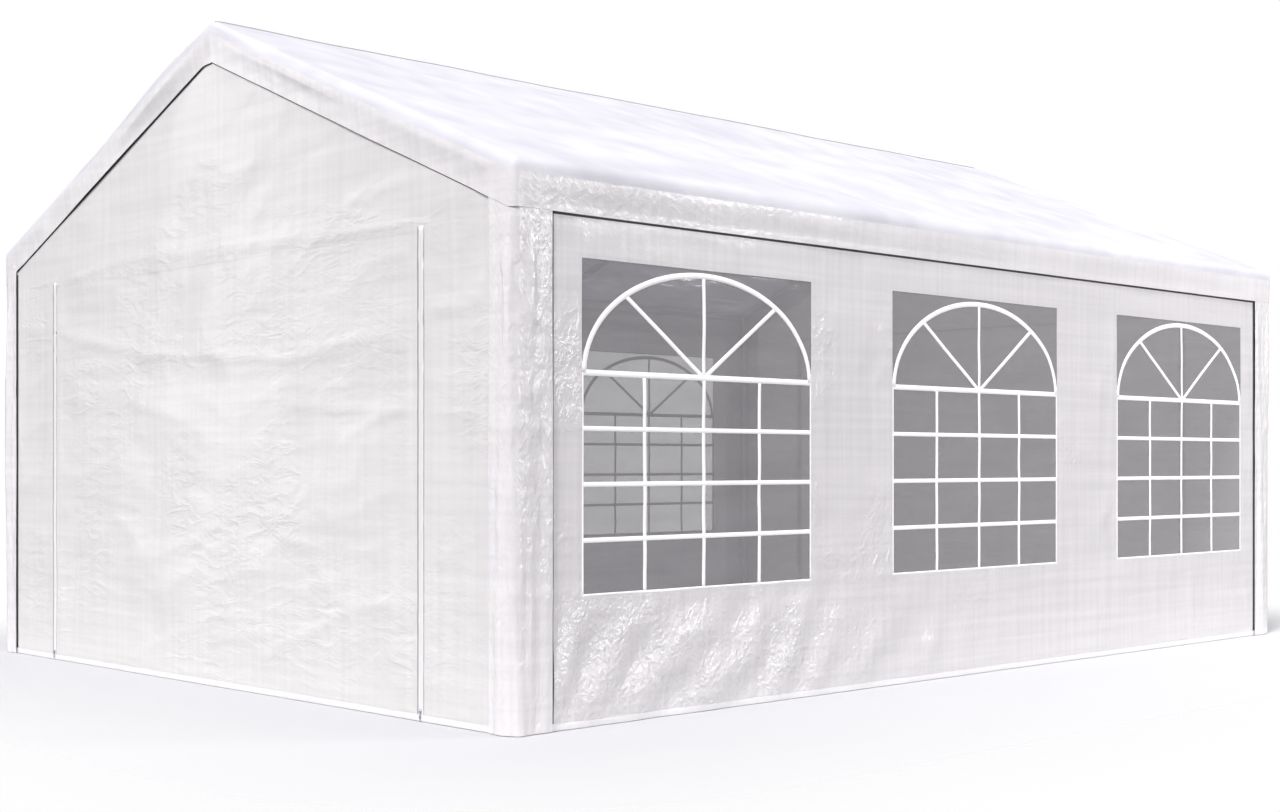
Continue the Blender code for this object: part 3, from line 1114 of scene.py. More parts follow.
@dataclass
class RoofCover:
    """Both slopes with the valances along the eaves and the gables, as one sewn sheet.

    The sheet is laid out on a sharp-edged roof body. Each point is then taken from the
    nearest point of that body shrunk by the fold's radius, which rounds every fold.
    """

    plan: TentPlan
    spacing: float = 0.034
    sag: float = 0.016
    lean: float = 0.0082
    lean_over_sleeve: float = 0.0034
    crown: float = 0.024
    seam_x: float = 0.013
    seam_inset: float = 0.02
    valance_from: float = 0.05
    near_edge: Triple = (0.012, 0.024, 0.036)
    near_ridge: Pair = (0.007, 0.015)
    weld_within: float = 0.02 * MM
    edge_reach: float = 2.2
    by_edge: Fade = Fade(0.0, 0.07)
    by_ridge: Fade = Fade(0.0, 0.08)
    by_corner: Fade = Fade(0.02, 0.16)
    by_fold: Fade = Fade(0.0, 0.05)
    by_sleeve: Fade = Fade(0.005, 0.16)
    sleeve_edge: Pair = (-0.02, 0.01)

    def __post_init__(self) -> None:
        """Works out the places of the folds."""
        self.core_x = self.plan.half_width - FOLD_RADIUS
        self.core_y = self.plan.half_length - GABLE_FOLD_RADIUS
        self.core_ridge = self.plan.ridge - FOLD_RADIUS / math.cos(ROOF_ANGLE)
        self.eave = float(self.plan.rake(self.plan.half_width))
        self.depth = self.eave - self.plan.valance_bottom
        self.slope_folds = Wrinkles(
            seed=11, swell=0.013, swell_size=(0.9, 3.4), creases=26, crease_height=0.004,
            crease_reach=(0.5, 1.6), crease_width=(0.05, 0.13), crease_tilt=(90.0, 14.0),
            crumple=0.008, crumple_size=(0.5, 0.7),
        )
        self.gable_folds = Wrinkles(
            seed=23, swell=0.003, swell_size=(1.6, 0.4), creases=26, crease_height=0.0036,
            crease_reach=(0.4, 1.3), crease_width=(0.016, 0.04), crease_tilt=(0.0, 4.0),
            crumple=0.002, crumple_size=(0.5, 0.14),
        )
        self.eave_folds = Wrinkles(
            seed=37, swell=0.002, swell_size=(1.2, 0.6), creases=50, crease_height=0.0009,
            crease_reach=(0.06, 0.3), crease_width=(0.014, 0.03), crease_tilt=(78.0, 22.0),
            crumple=0.0006, crumple_size=(0.3, 0.2),
        )

    def nearest_core(self, points: Array) -> Array:
        """Nearest points of the shrunk roof body to points on the sharp one."""
        x, y, z = np.abs(points[:, 0]), points[:, 1], points[:, 2]
        core_eave = self.core_ridge - ROOF_SLOPE * self.core_x
        inside = (x <= self.core_x) & (z <= self.core_ridge - ROOF_SLOPE * x)
        side = np.stack([np.full_like(x, self.core_x), np.minimum(z, core_eave)], axis=1)
        start = np.array([0.0, self.core_ridge])
        run = np.array([self.core_x, core_eave]) - start
        flat = np.stack([x, z], axis=1)
        share = np.clip((flat - start) @ run / (run @ run), 0, 1)
        slope = start + share[:, None] * run
        to_side = np.linalg.norm(flat - side, axis=1)
        to_slope = np.linalg.norm(flat - slope, axis=1)
        core = np.where((to_side < to_slope)[:, None], side, slope)
        core = np.where(inside[:, None], flat, core)
        return np.stack(
            [np.copysign(core[:, 0], points[:, 0]), np.clip(y, -self.core_y, self.core_y), core[:, 1]],
            axis=1,
        )

    def wrap(self, points: Array, height: Array) -> Array:
        """Rounds the folds of sharp points and lifts them by a height."""
        core = self.nearest_core(points)
        radii = np.array([FOLD_RADIUS, GABLE_FOLD_RADIUS, FOLD_RADIUS])
        out = (points - core) / radii
        out /= np.linalg.norm(out, axis=1)[:, None]
        return core + out * (radii + (height + self.ripple(points))[:, None])

    def ripple(self, points: Array) -> Array:
        """Small waves that run on over the folds, so that the edges aren't ruler straight."""
        x, y, z = points.T
        waves = np.sin(4.1 * x + 2.3 * y + 0.7) + np.sin(-2.9 * x + 5.2 * y + 3.3 * z)
        waves += 0.6 * np.sin(9.5 * x - 3.1 * y + 6.1 * z + 1.9) + 0.5 * np.sin(11.7 * y + 2.2)
        crown = np.exp(-(((x + 0.45) / 0.40) ** 2) - ((y + self.plan.half_length) / 0.35) ** 2)
        hanging = smooth(self.plan.rake(x) - z, 0.04, 0.18)
        return 0.0012 * waves + self.crown * crown * (z > self.eave) * (1 - 0.85 * hanging)

    def between_rafters(self, y: Array) -> Array:
        """0 over the rafters and 1 half way between them."""
        rows = np.array([-END_LEGS_Y, -MIDDLE_LEGS_Y, MIDDLE_LEGS_Y, END_LEGS_Y])
        clamped = np.clip(y, rows[0] + 1e-6, rows[-1] - 1e-6)
        index = np.clip(np.searchsorted(rows, clamped) - 1, 0, len(rows) - 2)
        share = (clamped - rows[index]) / (rows[index + 1] - rows[index])
        return np.sin(np.pi * share) ** 2

    def on_slope(self, x: Array, y: Array) -> Array:
        """Points on the slopes, at places across and along the tent."""
        half_width, half_length = self.plan.half_width, self.plan.half_length
        far = np.abs(x) / half_width
        between = self.between_rafters(y)
        down = np.sin(np.pi * np.clip(far, 0, 1)) ** 0.8
        to_edge = np.minimum(1 - far, (half_length - np.abs(y)) / self.edge_reach)
        folds = self.slope_folds.height(x, y, (-half_width, half_width, *FOLDS_ALONG))
        folds = folds * self.by_ridge.at(far) * (0.3 + 0.7 * between)
        height = self.by_edge.at(to_edge) * (folds - self.sag * down * between)
        # The cloth can't sink into the tubes, and has more room between them.
        lowest = -0.003 - 0.02 * smooth(between, 0.0, 0.6)
        return self.wrap(np.stack([x, y, self.plan.rake(x)], axis=1), np.maximum(height, lowest))

    def valance_height(
        self, folds: Array, along: Array, corner: float, sleeve: float, depth: Array, left: Array
    ) -> Array:
        """How far a valance stands out: held at its ends and fold, and leaning in at its edge.

        Args:
            folds: height of its folds.
            along: distance from its middle.
            corner: where it ends at the tent's corner.
            sleeve: where it starts to lie over a corner sleeve.
            depth: distance down from its fold.
            left: distance left to its lower edge.

        Returns:
            The height at each place.
        """
        folds = folds * self.by_corner.at(corner - along) * self.by_fold.at(depth)
        hem = HEM_RISE * (1 - smooth(left, HEM_WIDTH, HEM_WIDTH + 3 * MM))
        inner, outer = self.sleeve_edge
        over_sleeve = 1 - smooth(along, sleeve + inner, sleeve + outer)
        between = self.by_sleeve.at(sleeve - along)
        lean = self.lean * between + self.lean_over_sleeve * (1 - between)
        return (folds + hem) * over_sleeve - lean * smooth(depth, 0.06, self.depth)

    def on_eave(self, side: Side, y: Array, share: Array) -> Array:
        """Points on an eave valance, at places along the tent and shares of its depth."""
        plan, depth = self.plan, share * self.depth
        folds = self.eave_folds.height(y * side.value, depth, (*FOLDS_ALONG, 0.0, self.depth))
        height = self.valance_height(
            folds, np.abs(y), plan.half_length, plan.sleeve_y, depth, self.depth - depth
        )
        x = np.full_like(y, side.value * plan.half_width)
        return self.wrap(np.stack([x, y, self.eave - depth], axis=1), height)

    def on_gable(self, end: End, x: Array, share: Array) -> Array:
        """Points on a gable valance, at places across the tent and shares of its depth."""
        plan = self.plan
        whole = plan.rake(x) - plan.gable_valance_bottom(x)
        depth = share * whole
        along = x / math.cos(ROOF_ANGLE) * end.value
        folds = self.gable_folds.height(along, depth, (*FOLDS_ACROSS, 0.0, self.depth))
        belly = 0.006 * np.exp(-np.abs(depth - 0.085) / 0.03) * smooth(np.abs(x), 0.1, 0.5)
        height = self.valance_height(
            folds + belly, np.abs(x), plan.half_width, plan.sleeve_x, depth, whole - depth
        )
        y = np.full_like(x, end.value * plan.half_length)
        return self.wrap(np.stack([x, y, plan.rake(x) - depth], axis=1), height)

    def sheet(self) -> Thing:
        """The slopes and the four valances, welded at their folds."""
        half_width, half_length = self.plan.half_width, self.plan.half_length
        slope_edge = [half_width - inset for inset in reversed(self.near_edge)]
        right = graded([0.0, *self.near_ridge, *slope_edge, half_width], self.spacing)
        across = np.concatenate([-right[::-1], right[1:]])
        back_edge = [half_length - inset for inset in reversed(self.near_edge)]
        front_edge = [inset - half_length for inset in self.near_edge]
        lengths = graded([-half_length, *front_edge, *back_edge, half_length], self.spacing)
        hem_line = 1 - HEM_WIDTH / self.depth
        edge_line = 1 - EDGE_ROW / self.depth
        stops = [0.0, 0.05, 0.1, 0.15, 0.2, hem_line - 0.018, hem_line, edge_line, 1.0]
        shares = graded(stops, 0.08)

        patches: list[tuple[Array, Array, Place, bool]] = [(across, lengths, self.on_slope, False)]
        for side in Side:
            patches.append((lengths, shares, partial(self.on_eave, side), side is Side.RIGHT))
        for end in End:
            patches.append((across, shares, partial(self.on_gable, end), end is End.FRONT))
        points: list[Array] = []
        faces: list[Array] = []
        count = 0
        for columns, rows, place, flip in patches:
            u, v = np.meshgrid(columns, rows)
            points.append(place(u.ravel(), v.ravel()))
            faces.append(grid_faces(len(rows), len(columns), flip=flip) + count)
            count += u.size
        cover = object_from("roof_cover_sheet", np.concatenate(points), np.concatenate(faces))
        with edited(cover.data) as bm:
            bmesh.ops.remove_doubles(bm, verts=bm.verts, dist=self.weld_within)
        return cover

    def build(self) -> None:
        """Makes the cover, gives it its cloth and lets it stand for its solid."""
        cover = self.sheet()
        x, y, z = vertices_of(cover.data).T
        hanging = smooth(self.plan.rake(x) - z, 0.03, 0.08)
        near_front = smooth(-y, 1.6, 2.9) * (np.abs(x) > self.plan.half_width - FOLD_RADIUS)
        mark_creased(cover, 0.15 + 0.1 * hanging + 0.22 * hanging * near_front)
        stand_for("roof_cover", cover, SLOPE_CLOTH_PAINTED_SHADE)
        # The slopes keep the cloth that is painted darker as painted shade. The hanging valances take
        # the brighter valance cloth.
        cover.data.materials.append(VALANCE_CLOTH.material())
        for polygon in cover.data.polygons:
            centre = polygon.center
            if self.plan.rake(centre.x) - centre.z > self.valance_from:
                polygon.material_index = 1
        self.sew_ridge()

    def sew_ridge(self) -> None:
        """The piped seam along the ridge, its cord coloured grey as painted shade, which draws the
        fine grey line of the skyline.
        """
        reach = self.plan.half_length - self.seam_inset
        ys = graded([-reach, 0.0, reach], 0.04)
        foot = self.on_slope(np.full_like(ys, self.seam_x), ys)
        # Across and up from the seam's place, in mm.
        profile = ((0.0, -1.0), (3.0, -1.0), (3.0, 3.6), (1.5, 4.6), (0.0, 3.6))
        rings = [foot + np.array([across, 0.0, rise]) * MM for across, rise in profile]
        faces = ring_faces(len(ys), len(rings))
        dress(solid_from("ridge_seam", np.stack(rings, axis=1), faces, sharp=True), SHADED_SEAM_CORD)


# The walls.


# The long folds of a gable wall, at the places that they have on the real one.
GABLE_FOLDS = (
    Fold(
        ((-1.62, 2.04), (-0.71, 2.10), (0.4, 2.07), (1.54, 2.05), (1.8, 2.03)),
        rise=0.009, width=0.020,
    ),
    Fold(((-2.0, 1.83), (-0.7, 1.61), (0.66, 1.53), (1.8, 1.66)), rise=0.008, width=0.030),
    Fold(((0.5, 1.33), (2.1, 1.25)), rise=0.006, width=0.016),
    Fold(((0.3, 0.12), (1.1, 0.42), (1.6, 0.5)), rise=0.006, width=0.025),
)


@dataclass
class GableWall(Panel):
    """A gable wall with its zipped door. Places on it are (x, z)."""

    plan: TentPlan
    end: End
    spacing: float = 0.021
    door_lap: float = 12 * MM
    seam_over_door: float = 9 * MM
    stitches_beside_zip: float = 20 * MM
    stitches_over_door: float = 20 * MM
    sewn_layer: float = 0.3 * MM
    rows_over_door: int = 36
    first_row_over_door: float = 0.0015
    set_back: float = 0.005
    limits: Pair = (-0.016, 0.014)
    by_sleeve: Fade = Fade(-0.01, 0.12)
    by_valance: Fade = Fade(-0.02, 0.12)
    by_zip: Fade = Fade(0.02, 0.14, 0.2)
    by_ground: Fade = Fade(0.0, 0.2, 0.5)
    crinkled: tuple[tuple[float, float, float, float, float], ...] = (
        (1.35, 2.30, 0.55, 0.25, 0.7), (-1.9, 1.75, 0.35, 0.12, 0.6),
        (0.8, 0.28, 0.8, 0.18, 0.5), (-0.9, 2.1, 0.7, 0.1, 0.3), (0.3, 1.6, 1.2, 0.1, 0.35),
    )

    def __post_init__(self) -> None:
        """Sets the creases, which run nearly level between the zips."""
        self.folds = Wrinkles(
            seed=101 + 7 * self.end.value, swell=0.005, swell_size=(2.0, 0.8), creases=120,
            crease_height=0.0046, crease_reach=(0.12, 0.8), crease_width=(0.012, 0.030),
            crease_tilt=(3.0, 12.0), crumple=0.009, crumple_size=(0.42, 0.17), folds=GABLE_FOLDS,
        )

    def height(self, u: Array, v: Array) -> Array:
        """How far the wall stands out from its plane."""
        plan = self.plan
        half = plan.gable_half_width
        folds = self.folds.height(u, v, (-half, half, *FOLDS_UP_GABLE))
        held = self.by_sleeve.at(plan.sleeve_x - np.abs(u))
        held = held * self.by_valance.at(plan.gable_valance_bottom(u) - v)
        held = held * self.by_zip.at(np.abs(np.abs(u) - plan.door_half_width))
        held = held * self.by_ground.at(v)
        return np.clip((folds - self.set_back) * held, *self.limits)

    def creased(self, u: Array, v: Array) -> Array:
        """How crinkled the cloth is: most under the right rake and along the ground."""
        patches = smooth(self.folds.waves(v * 1.3 + 2.0, u * 0.8), -0.5, 0.9)
        total = 0.16 + 0.55 * patches
        for at_u, at_v, wide, high, much in self.crinkled:
            total = total + much * np.exp(-(((u - at_u) / wide) ** 2) - ((v - at_v) / high) ** 2)
        return total * (0.3 + 0.7 * smooth(self.plan.gable_valance_bottom(u) - v, 0.0, 0.1))

    def point(self, u: Array, v: Array, lift: Array | float = 0.0) -> Array:
        """Points of the tent over places on the wall."""
        out = self.plan.wall_y + self.height(u, v) + lift
        return np.stack([u, self.end.value * out, v], axis=1)

    def top(self, x: Array) -> Array:
        """Height of the wall's upper edge."""
        return self.plan.rake(x) - RIDGE_OVER_GABLE_WALL

    def build(self) -> None:
        """Makes the wall around the door, the door, its zips and the seams."""
        self.hang_door(self.hang_wall())
        DoorZips(self).build()
        self.sew()
        Hem().lay(self, f"gable_hem_{self.end.label}", self.plan.gable_half_width)

    def hang_wall(self) -> Thing:
        """The sheet around the door, up to the rakes."""
        plan, label = self.plan, self.end.label
        half, door = plan.gable_half_width, plan.door_half_width
        door_height = plan.door_top - plan.hem_z

        def stretched(u: Array, share: Array) -> Array:
            """Points of the wall: shares to 1 run up to the door's top, and to 2 on to the rake."""
            low = np.clip(share, 0, 1) * door_height + plan.hem_z
            over = np.clip(share - 1, 0, 1) * (self.top(u) - plan.door_top)
            return self.point(u, low + over)

        right = [door - EDGE_ROW, door, door + EDGE_ROW, half - EDGE_ROW, half]
        xs = graded([-x for x in reversed(right)] + [0.0, *right], self.spacing)
        low_zs = graded([plan.hem_z, plan.hem_z + EDGE_ROW, plan.door_top], self.spacing)
        up = np.linspace(0, 1, self.rows_over_door)[1:]
        high_rows = 1 + np.concatenate([[self.first_row_over_door], up])
        rows = np.concatenate([(low_zs - plan.hem_z) / door_height, high_rows])
        wall = grid_sheet(
            f"gable_sheet_{label}", xs, rows, stretched,
            lambda u, share: self.creased(u, share * plan.door_top),
            [(-door, door, -1.0, 1.0)], self.end is End.BACK,
        )
        stand_for(f"gable_wall_{label}", wall, WALL_CLOTH)
        eave = float(self.top(half)) - plan.hem_z
        return wall

    def hang_door(self, wall: Thing) -> None:
        """The door between the zips, lapped behind the wall above it."""
        plan, label = self.plan, self.end.label
        door, top = plan.door_half_width, plan.door_top

        def lapped(u: Array, v: Array) -> Array:
            """Points of the door, behind the wall where it reaches over the door's top."""
            behind = np.where(v > top, SHEET_THICKNESS + CLEARANCE, 0.0)
            return self.point(u, v, -behind)

        xs = graded([-door, EDGE_ROW - door, 0.0, door - EDGE_ROW, door], self.spacing)
        zs = np.append(
            graded([plan.hem_z, plan.hem_z + EDGE_ROW, top - 1 * MM, top], self.spacing),
            [top + 1 * MM, top + 2 * MM, top + self.door_lap],
        )
        flap = grid_sheet(
            f"door_sheet_{label}", xs, zs, lapped, self.creased, (), self.end is End.BACK
        )
        stand_for(f"door_flap_{label}", flap, WALL_CLOTH)

    def sew(self) -> None:
        """The stitching of the zips, of the seam over the door and of the hem."""
        plan = self.plan
        door, seam_z = plan.door_half_width, plan.door_top + self.seam_over_door
        low, high = plan.hem_z + STITCH_MARGIN, plan.door_top + self.stitches_over_door
        rows = [
            ((sign * door + off, low), (sign * door + off, high))
            for sign in (-1, 1)
            for off in (-self.stitches_beside_zip, self.stitches_beside_zip)
        ]
        rows.append(((-door, seam_z), (door, seam_z)))
        edge = plan.gable_half_width - STITCH_MARGIN
        rows.append(((-edge, HEM_STITCH_Z), (edge, HEM_STITCH_Z)))
        Stitching().sew(self, f"gable_stitching_{self.end.label}", rows, self.sewn_layer)


@dataclass
class DoorZips:
    """The zips down both sides of a door, closed, with their sliders at the foot."""

    wall: GableWall
    tape_width: float = 46 * MM
    tape_thickness: float = 0.15 * MM
    tape_bevel: float = 16 * MM
    low: float = 6 * MM
    over_door: float = 26 * MM
    coil_ends: Pair = (10 * MM, 34 * MM)
    coil_pitch: float = 5 * MM
    stagger: float = 0.9 * MM
    slider_up: float = 34 * MM
    slider_lift: float = 1 * MM
    slider_taper: Pair = (0.86, 0.93)

    def build(self) -> None:
        """Makes the tapes, the coils and the sliders of both zips."""
        plan = self.wall.plan
        low, high = plan.hem_z + self.low, plan.door_top + self.over_door
        tapes, coils, sliders = [], [], []
        for sign in (-1, 1):
            x = sign * plan.door_half_width
            path = along_path([(x, low), (x, high)], STRIP_STEP)
            tapes.append(
                strip_on(
                    self.wall, "tape", path, self.tape_width, self.tape_thickness, CLEARANCE,
                    self.tape_bevel,
                )
            )
            coils.append(self.coil(x, low + self.coil_ends[0], high - self.coil_ends[1]))
            sliders += self.slider(x, low + self.slider_up)
        label = self.wall.end.label
        dress(join_all(f"zip_tapes_{label}", tapes), ZIP_TAPE)
        dress(join_all(f"zip_coils_{label}", coils), ZIP_COIL)
        dress(join_all(f"zip_sliders_{label}", sliders), ZINC)

    def coil(self, x: float, low: float, high: float) -> Thing:
        """The interlocked turns of a zip, drawn 5 mm apart where real ones are 3 mm."""
        middles = np.arange(low, high, self.coil_pitch)
        aside = (np.arange(len(middles)) % 2 * 2 - 1) * self.stagger
        lift = 2 * CLEARANCE
        corners = []
        for half_width, half_turn, rise in ((3.6, 1.7, 0.0), (2.2, 0.9, 0.8)):
            for across, up in ((-1, -1), (1, -1), (1, 1), (-1, 1)):
                u = x + across * half_width * MM + aside
                v = middles + up * half_turn * MM
                corners.append(self.wall.point(u, v, lift + rise * MM))
        sides = ((3, 2, 1, 0), (4, 5, 6, 7), (0, 1, 5, 4), (1, 2, 6, 5), (2, 3, 7, 6), (3, 0, 4, 7))
        faces = repeated(sides, len(corners), len(middles))
        return solid_from("coil", np.stack(corners, axis=1), faces)

    def slider(self, x: float, z: float) -> list[Thing]:
        """The body of a zip slider, the loop on it and the pull tab that hangs down."""
        lift = CLEARANCE + self.slider_lift
        # Corners of each part's foot, and where it starts and ends above the tape, in mm.
        outlines = (
            (((-6, -9), (6, -9), (7.5, 2), (5.5, 9), (-5.5, 9), (-7.5, 2)), 0.0, 3.2),
            (((-1.8, -6), (1.8, -6), (1.8, 6), (-1.8, 6)), 3.2, 5.0),
            (((-3.2, -34), (3.2, -34), (4.4, -28), (3.0, -4), (-3.0, -4), (-4.4, -28)), 4.2, 5.4),
        )
        parts = []
        for outline, low, high in outlines:
            across, up = np.array(outline, float).T * MM
            bottom = self.wall.point(x + across, z + up, lift + low * MM)
            in_x, in_z = self.slider_taper
            top = self.wall.point(x + across * in_x, z + up * in_z, lift + high * MM)
            points = np.concatenate([bottom, top])
            parts.append(solid_from("slider", points, ring_faces(2, len(outline))))
        return parts


@dataclass
class SideWall(Panel):
    """A side wall with three clear windows. Places on it are (y, z)."""

    plan: TentPlan
    side: Side
    spacing: float = 0.022
    bunching: float = 0.0100
    bunch_width: float = 0.27
    set_back: float = 0.002
    furthest_out: float = 0.011
    by_sleeve: Fade = Fade(-0.02, 0.10)
    by_valance: Fade = Fade(-0.02, 0.26)
    by_leg: Fade = Fade(0.03, 0.16, 0.45)
    by_ground: Fade = Fade(0.0, 0.16, 0.5)
    by_window: Fade = Fade(0.0, 0.12, 0.3)
    film_margin: float = 6 * MM
    film_spacing: float = 0.03
    stitches_off_window: float = 14 * MM

    def __post_init__(self) -> None:
        """Sets the creases of the wall and the ripples of its windows."""
        self.folds = Wrinkles(
            seed=211 + 5 * self.side.value, swell=0.006, swell_size=(0.9, 0.8), creases=170,
            crease_height=0.0045, crease_reach=(0.05, 0.35), crease_width=(0.012, 0.028),
            crease_tilt=(62.0, 36.0), crumple=0.020, crumple_size=(0.19, 0.24),
        )
        self.film = Wrinkles(
            seed=307 + 5 * self.side.value, swell=0.003, swell_size=(1.6, 0.35), creases=0,
            crumple=0.0,
        )

    def inside_window(self, u: Array, v: Array, margin: float) -> Array:
        """1 well inside a window, 0 outside it, and a soft step of a margin's width."""
        total = np.zeros_like(u)
        for low_y, high_y, low_z, high_z in self.plan.windows:
            across = np.minimum(u - low_y, high_y - u)
            up = np.minimum(v - low_z, high_z - v)
            total += smooth(np.minimum(across, up), 0.0, margin)
        return np.clip(total, 0, 1)

    def slack(self, u: Array, v: Array) -> Array:
        """0 where the wall hangs tight, 1 where it bunches up: low down at the front end."""
        low = np.exp(-(((v - 0.18) / 0.32) ** 2))
        return smooth(-u, -0.6, 2.4) * low

    def off_windows(self, u: Array, v: Array) -> Array:
        """Distance from the nearest window, 0 inside it."""
        nearest = np.full_like(u, np.inf)
        for low_y, high_y, low_z, high_z in self.plan.windows:
            across = np.maximum(np.maximum(low_y - u, u - high_y), 0)
            up = np.maximum(np.maximum(low_z - v, v - high_z), 0)
            nearest = np.minimum(nearest, np.hypot(across, up))
        return nearest

    def height(self, u: Array, v: Array) -> Array:
        """How far the wall stands out from its plane."""
        plan, slack = self.plan, self.slack(u, v)
        extent = (*FOLDS_ALONG, *FOLDS_UP_SIDE)
        folds = self.folds.height(u, v, extent) * (0.4 + 0.6 * slack)
        slant = 0.75 * u - 0.66 * v + 0.05 * np.sin(5 * u + 3 * v)
        slant = slant * 2 * math.pi / self.bunch_width
        folds = folds + self.bunching * slack * np.sin(slant + 1.3 * np.sin(2.3 * v + u))
        cloth = (folds - self.set_back) * self.by_window.at(self.off_windows(u, v))
        film = self.film.height(u, v, extent) * self.inside_window(u, v, 0.1)
        to_leg = np.abs(np.abs(u) - MIDDLE_LEGS_Y)
        held = self.by_sleeve.at(plan.sleeve_y - np.abs(u))
        held = held * self.by_valance.at(plan.valance_bottom - v)
        held = held * self.by_leg.at(to_leg)
        held = held * self.by_ground.at(v)
        in_window = self.inside_window(u, v, 1 * MM) > 0.5
        total = np.where(in_window, folds * 0.1 + film, cloth) * held
        deepest = -0.002 - 0.014 * smooth(to_leg, 0.03, 0.2)
        return np.clip(total, deepest, self.furthest_out)

    def creased(self, u: Array, v: Array) -> Array:
        """How crinkled the cloth is: most where it bunches up, least high up."""
        patches = smooth(self.folds.waves(v * 1.1 + 2.0, u * 1.2), -0.5, 0.9)
        high = smooth(v, 1.6, 1.85)
        return 0.05 + 0.3 * (1 - high) * patches**2 + 0.7 * self.slack(u, v)

    def point(self, u: Array, v: Array, lift: Array | float = 0.0) -> Array:
        """Points of the tent over places on the wall."""
        out = self.plan.wall_x + self.height(u, v) + lift
        return np.stack([self.side.value * out, u, v], axis=1)

    def build(self) -> None:
        """Makes the wall, its windows and its seams."""
        plan, label = self.plan, self.side.label
        half = plan.side_half_length
        stops = [-half, EDGE_ROW - half]
        for low_y, high_y, _, _ in plan.windows:
            stops += [low_y - EDGE_ROW, low_y, high_y, high_y + EDGE_ROW]
        ys = graded([*stops, half - EDGE_ROW, half], self.spacing)
        _, _, low_z, high_z = plan.windows[0]
        sill, head = [low_z - EDGE_ROW, low_z], [high_z, high_z + EDGE_ROW]
        stops = [plan.hem_z, plan.hem_z + EDGE_ROW, *sill, *head, plan.side_top]
        wall = grid_sheet(
            f"side_sheet_{label}", ys, graded(stops, self.spacing), self.point, self.creased,
            plan.windows, self.side is Side.LEFT,
        )
        stand_for(f"side_wall_{label}", wall, SIDE_CLOTH)
        length, height = 2 * half, plan.side_top - plan.hem_z
        cut = length * height
        for low_y, high_y, low, high in plan.windows:
            cut -= (high_y - low_y) * (high - low)
        for number, opening in enumerate(plan.windows, 1):
            self.build_window(number, opening, wall)
        self.sew()
        Hem().lay(self, f"side_hem_{label}", half)

    def build_window(self, number: int, opening: Box, wall: Thing) -> None:
        """A clear sheet welded in behind an opening, with its white bars.

        Args:
            number: which window it is, from the front.
            opening: the window's place in the wall.
            wall: the wall that the sheet rests on; not used.
        """
        low_y, high_y, low_z, high_z = opening
        name = f"{self.side.label}_{number}"
        behind = -SHEET_THICKNESS - CLEARANCE
        margin, step = self.film_margin, self.film_spacing
        ys = graded([low_y - margin, low_y, high_y, high_y + margin], step)
        zs = graded([low_z - margin, low_z, high_z, high_z + margin], step)
        pane = grid_sheet(
            f"window_film_{name}", ys, zs, lambda y, z: self.point(y, z, behind), self.creased,
            (), self.side is Side.LEFT,
        )
        stand_for(f"window_pane_{name}", pane, CLEAR_FILM, FILM_THICKNESS)
        dress(WindowLattice(self, opening, behind).build(f"window_bars_{name}"), WHITE_PRINT)

    def sew(self) -> None:
        """Stitching round the windows and along the hem."""
        out = self.stitches_off_window
        rows = []
        for low_y, high_y, low_z, high_z in self.plan.windows:
            front, back, foot, top = low_y - out, high_y + out, low_z - out, high_z + out
            rows.append([(front, foot), (back, foot), (back, top), (front, top), (front, foot)])
        edge = self.plan.side_half_length - STITCH_MARGIN
        rows.append([(-edge, HEM_STITCH_Z), (edge, HEM_STITCH_Z)])
        Stitching().sew(self, f"side_stitching_{self.side.label}", rows)


@dataclass
class WindowLattice:
    """The white bars of a window: a net of panes under a fanlight with three spokes."""

    wall: SideWall
    opening: Box
    behind: float
    columns: int = 4
    rows: int = 4
    row_height: float = 0.225
    fan_rise: float = 0.435
    spoke_angle: float = math.radians(35)
    bar: float = 20 * MM
    wide_bar: float = 25 * MM
    border: float = 10 * MM
    border_over_arch: float = 0.04
    rise: float = 0.6 * MM
    clear: float = CLEARANCE
    bevel: float = 0.8 * MM
    step: float = 24 * MM

    def bar_on(self, path: Array, width: float, extra: float) -> Thing:
        """A bar along a path; what it is extra in height keeps its top off those it crosses."""
        lift = self.behind + self.clear
        return strip_on(self.wall, "bar", path, width, self.rise + extra, lift, self.bevel)

    def build(self, name: str) -> Thing:
        """Makes all the bars of one window, joined."""
        low_y, high_y, low_z, _ = self.opening
        middle, reach = (low_y + high_y) / 2, (high_y - low_y) / 2
        springer = low_z + self.rows * self.row_height
        half_span = reach - self.wide_bar / 2
        parts = []

        def bar(start: Pair, end: Pair, width: float, extra: float) -> None:
            """Adds a straight bar from one place to another."""
            parts.append(self.bar_on(along_path([start, end], self.step), width, extra))

        for column in range(1, self.columns):
            y = low_y + column * (high_y - low_y) / self.columns
            bar((y, low_z), (y, springer), self.bar, 0.0)
        for row in range(1, self.rows):
            z = low_z + row * self.row_height
            bar((low_y, z), (high_y, z), self.bar, LAYER)
        bar((low_y, springer), (high_y, springer), self.wide_bar, 2 * LAYER)

        angles = np.linspace(0, np.pi, 61)
        arch = (middle + half_span * np.cos(angles), springer + self.fan_rise * np.sin(angles))
        parts.append(self.bar_on(np.stack(arch, axis=1), self.wide_bar, 3 * LAYER))
        for number, angle in enumerate((self.spoke_angle, np.pi / 2, np.pi - self.spoke_angle)):
            aim = np.array([math.cos(angle) / half_span, math.sin(angle) / self.fan_rise])
            length = 1 / np.linalg.norm(aim)
            tip = (middle + length * math.cos(angle), springer + length * math.sin(angle))
            bar((middle, springer), tip, self.bar, (1.2 + 0.3 * number) * LAYER)

        half, top = self.border / 2, springer + self.border_over_arch
        for y in (low_y + half, high_y - half):
            bar((y, low_z), (y, top), self.border, LAYER / 2)
        bar((low_y, low_z + half), (high_y, low_z + half), self.border, 1.5 * LAYER)
        return join_all(name, parts)


# Corners and edges.


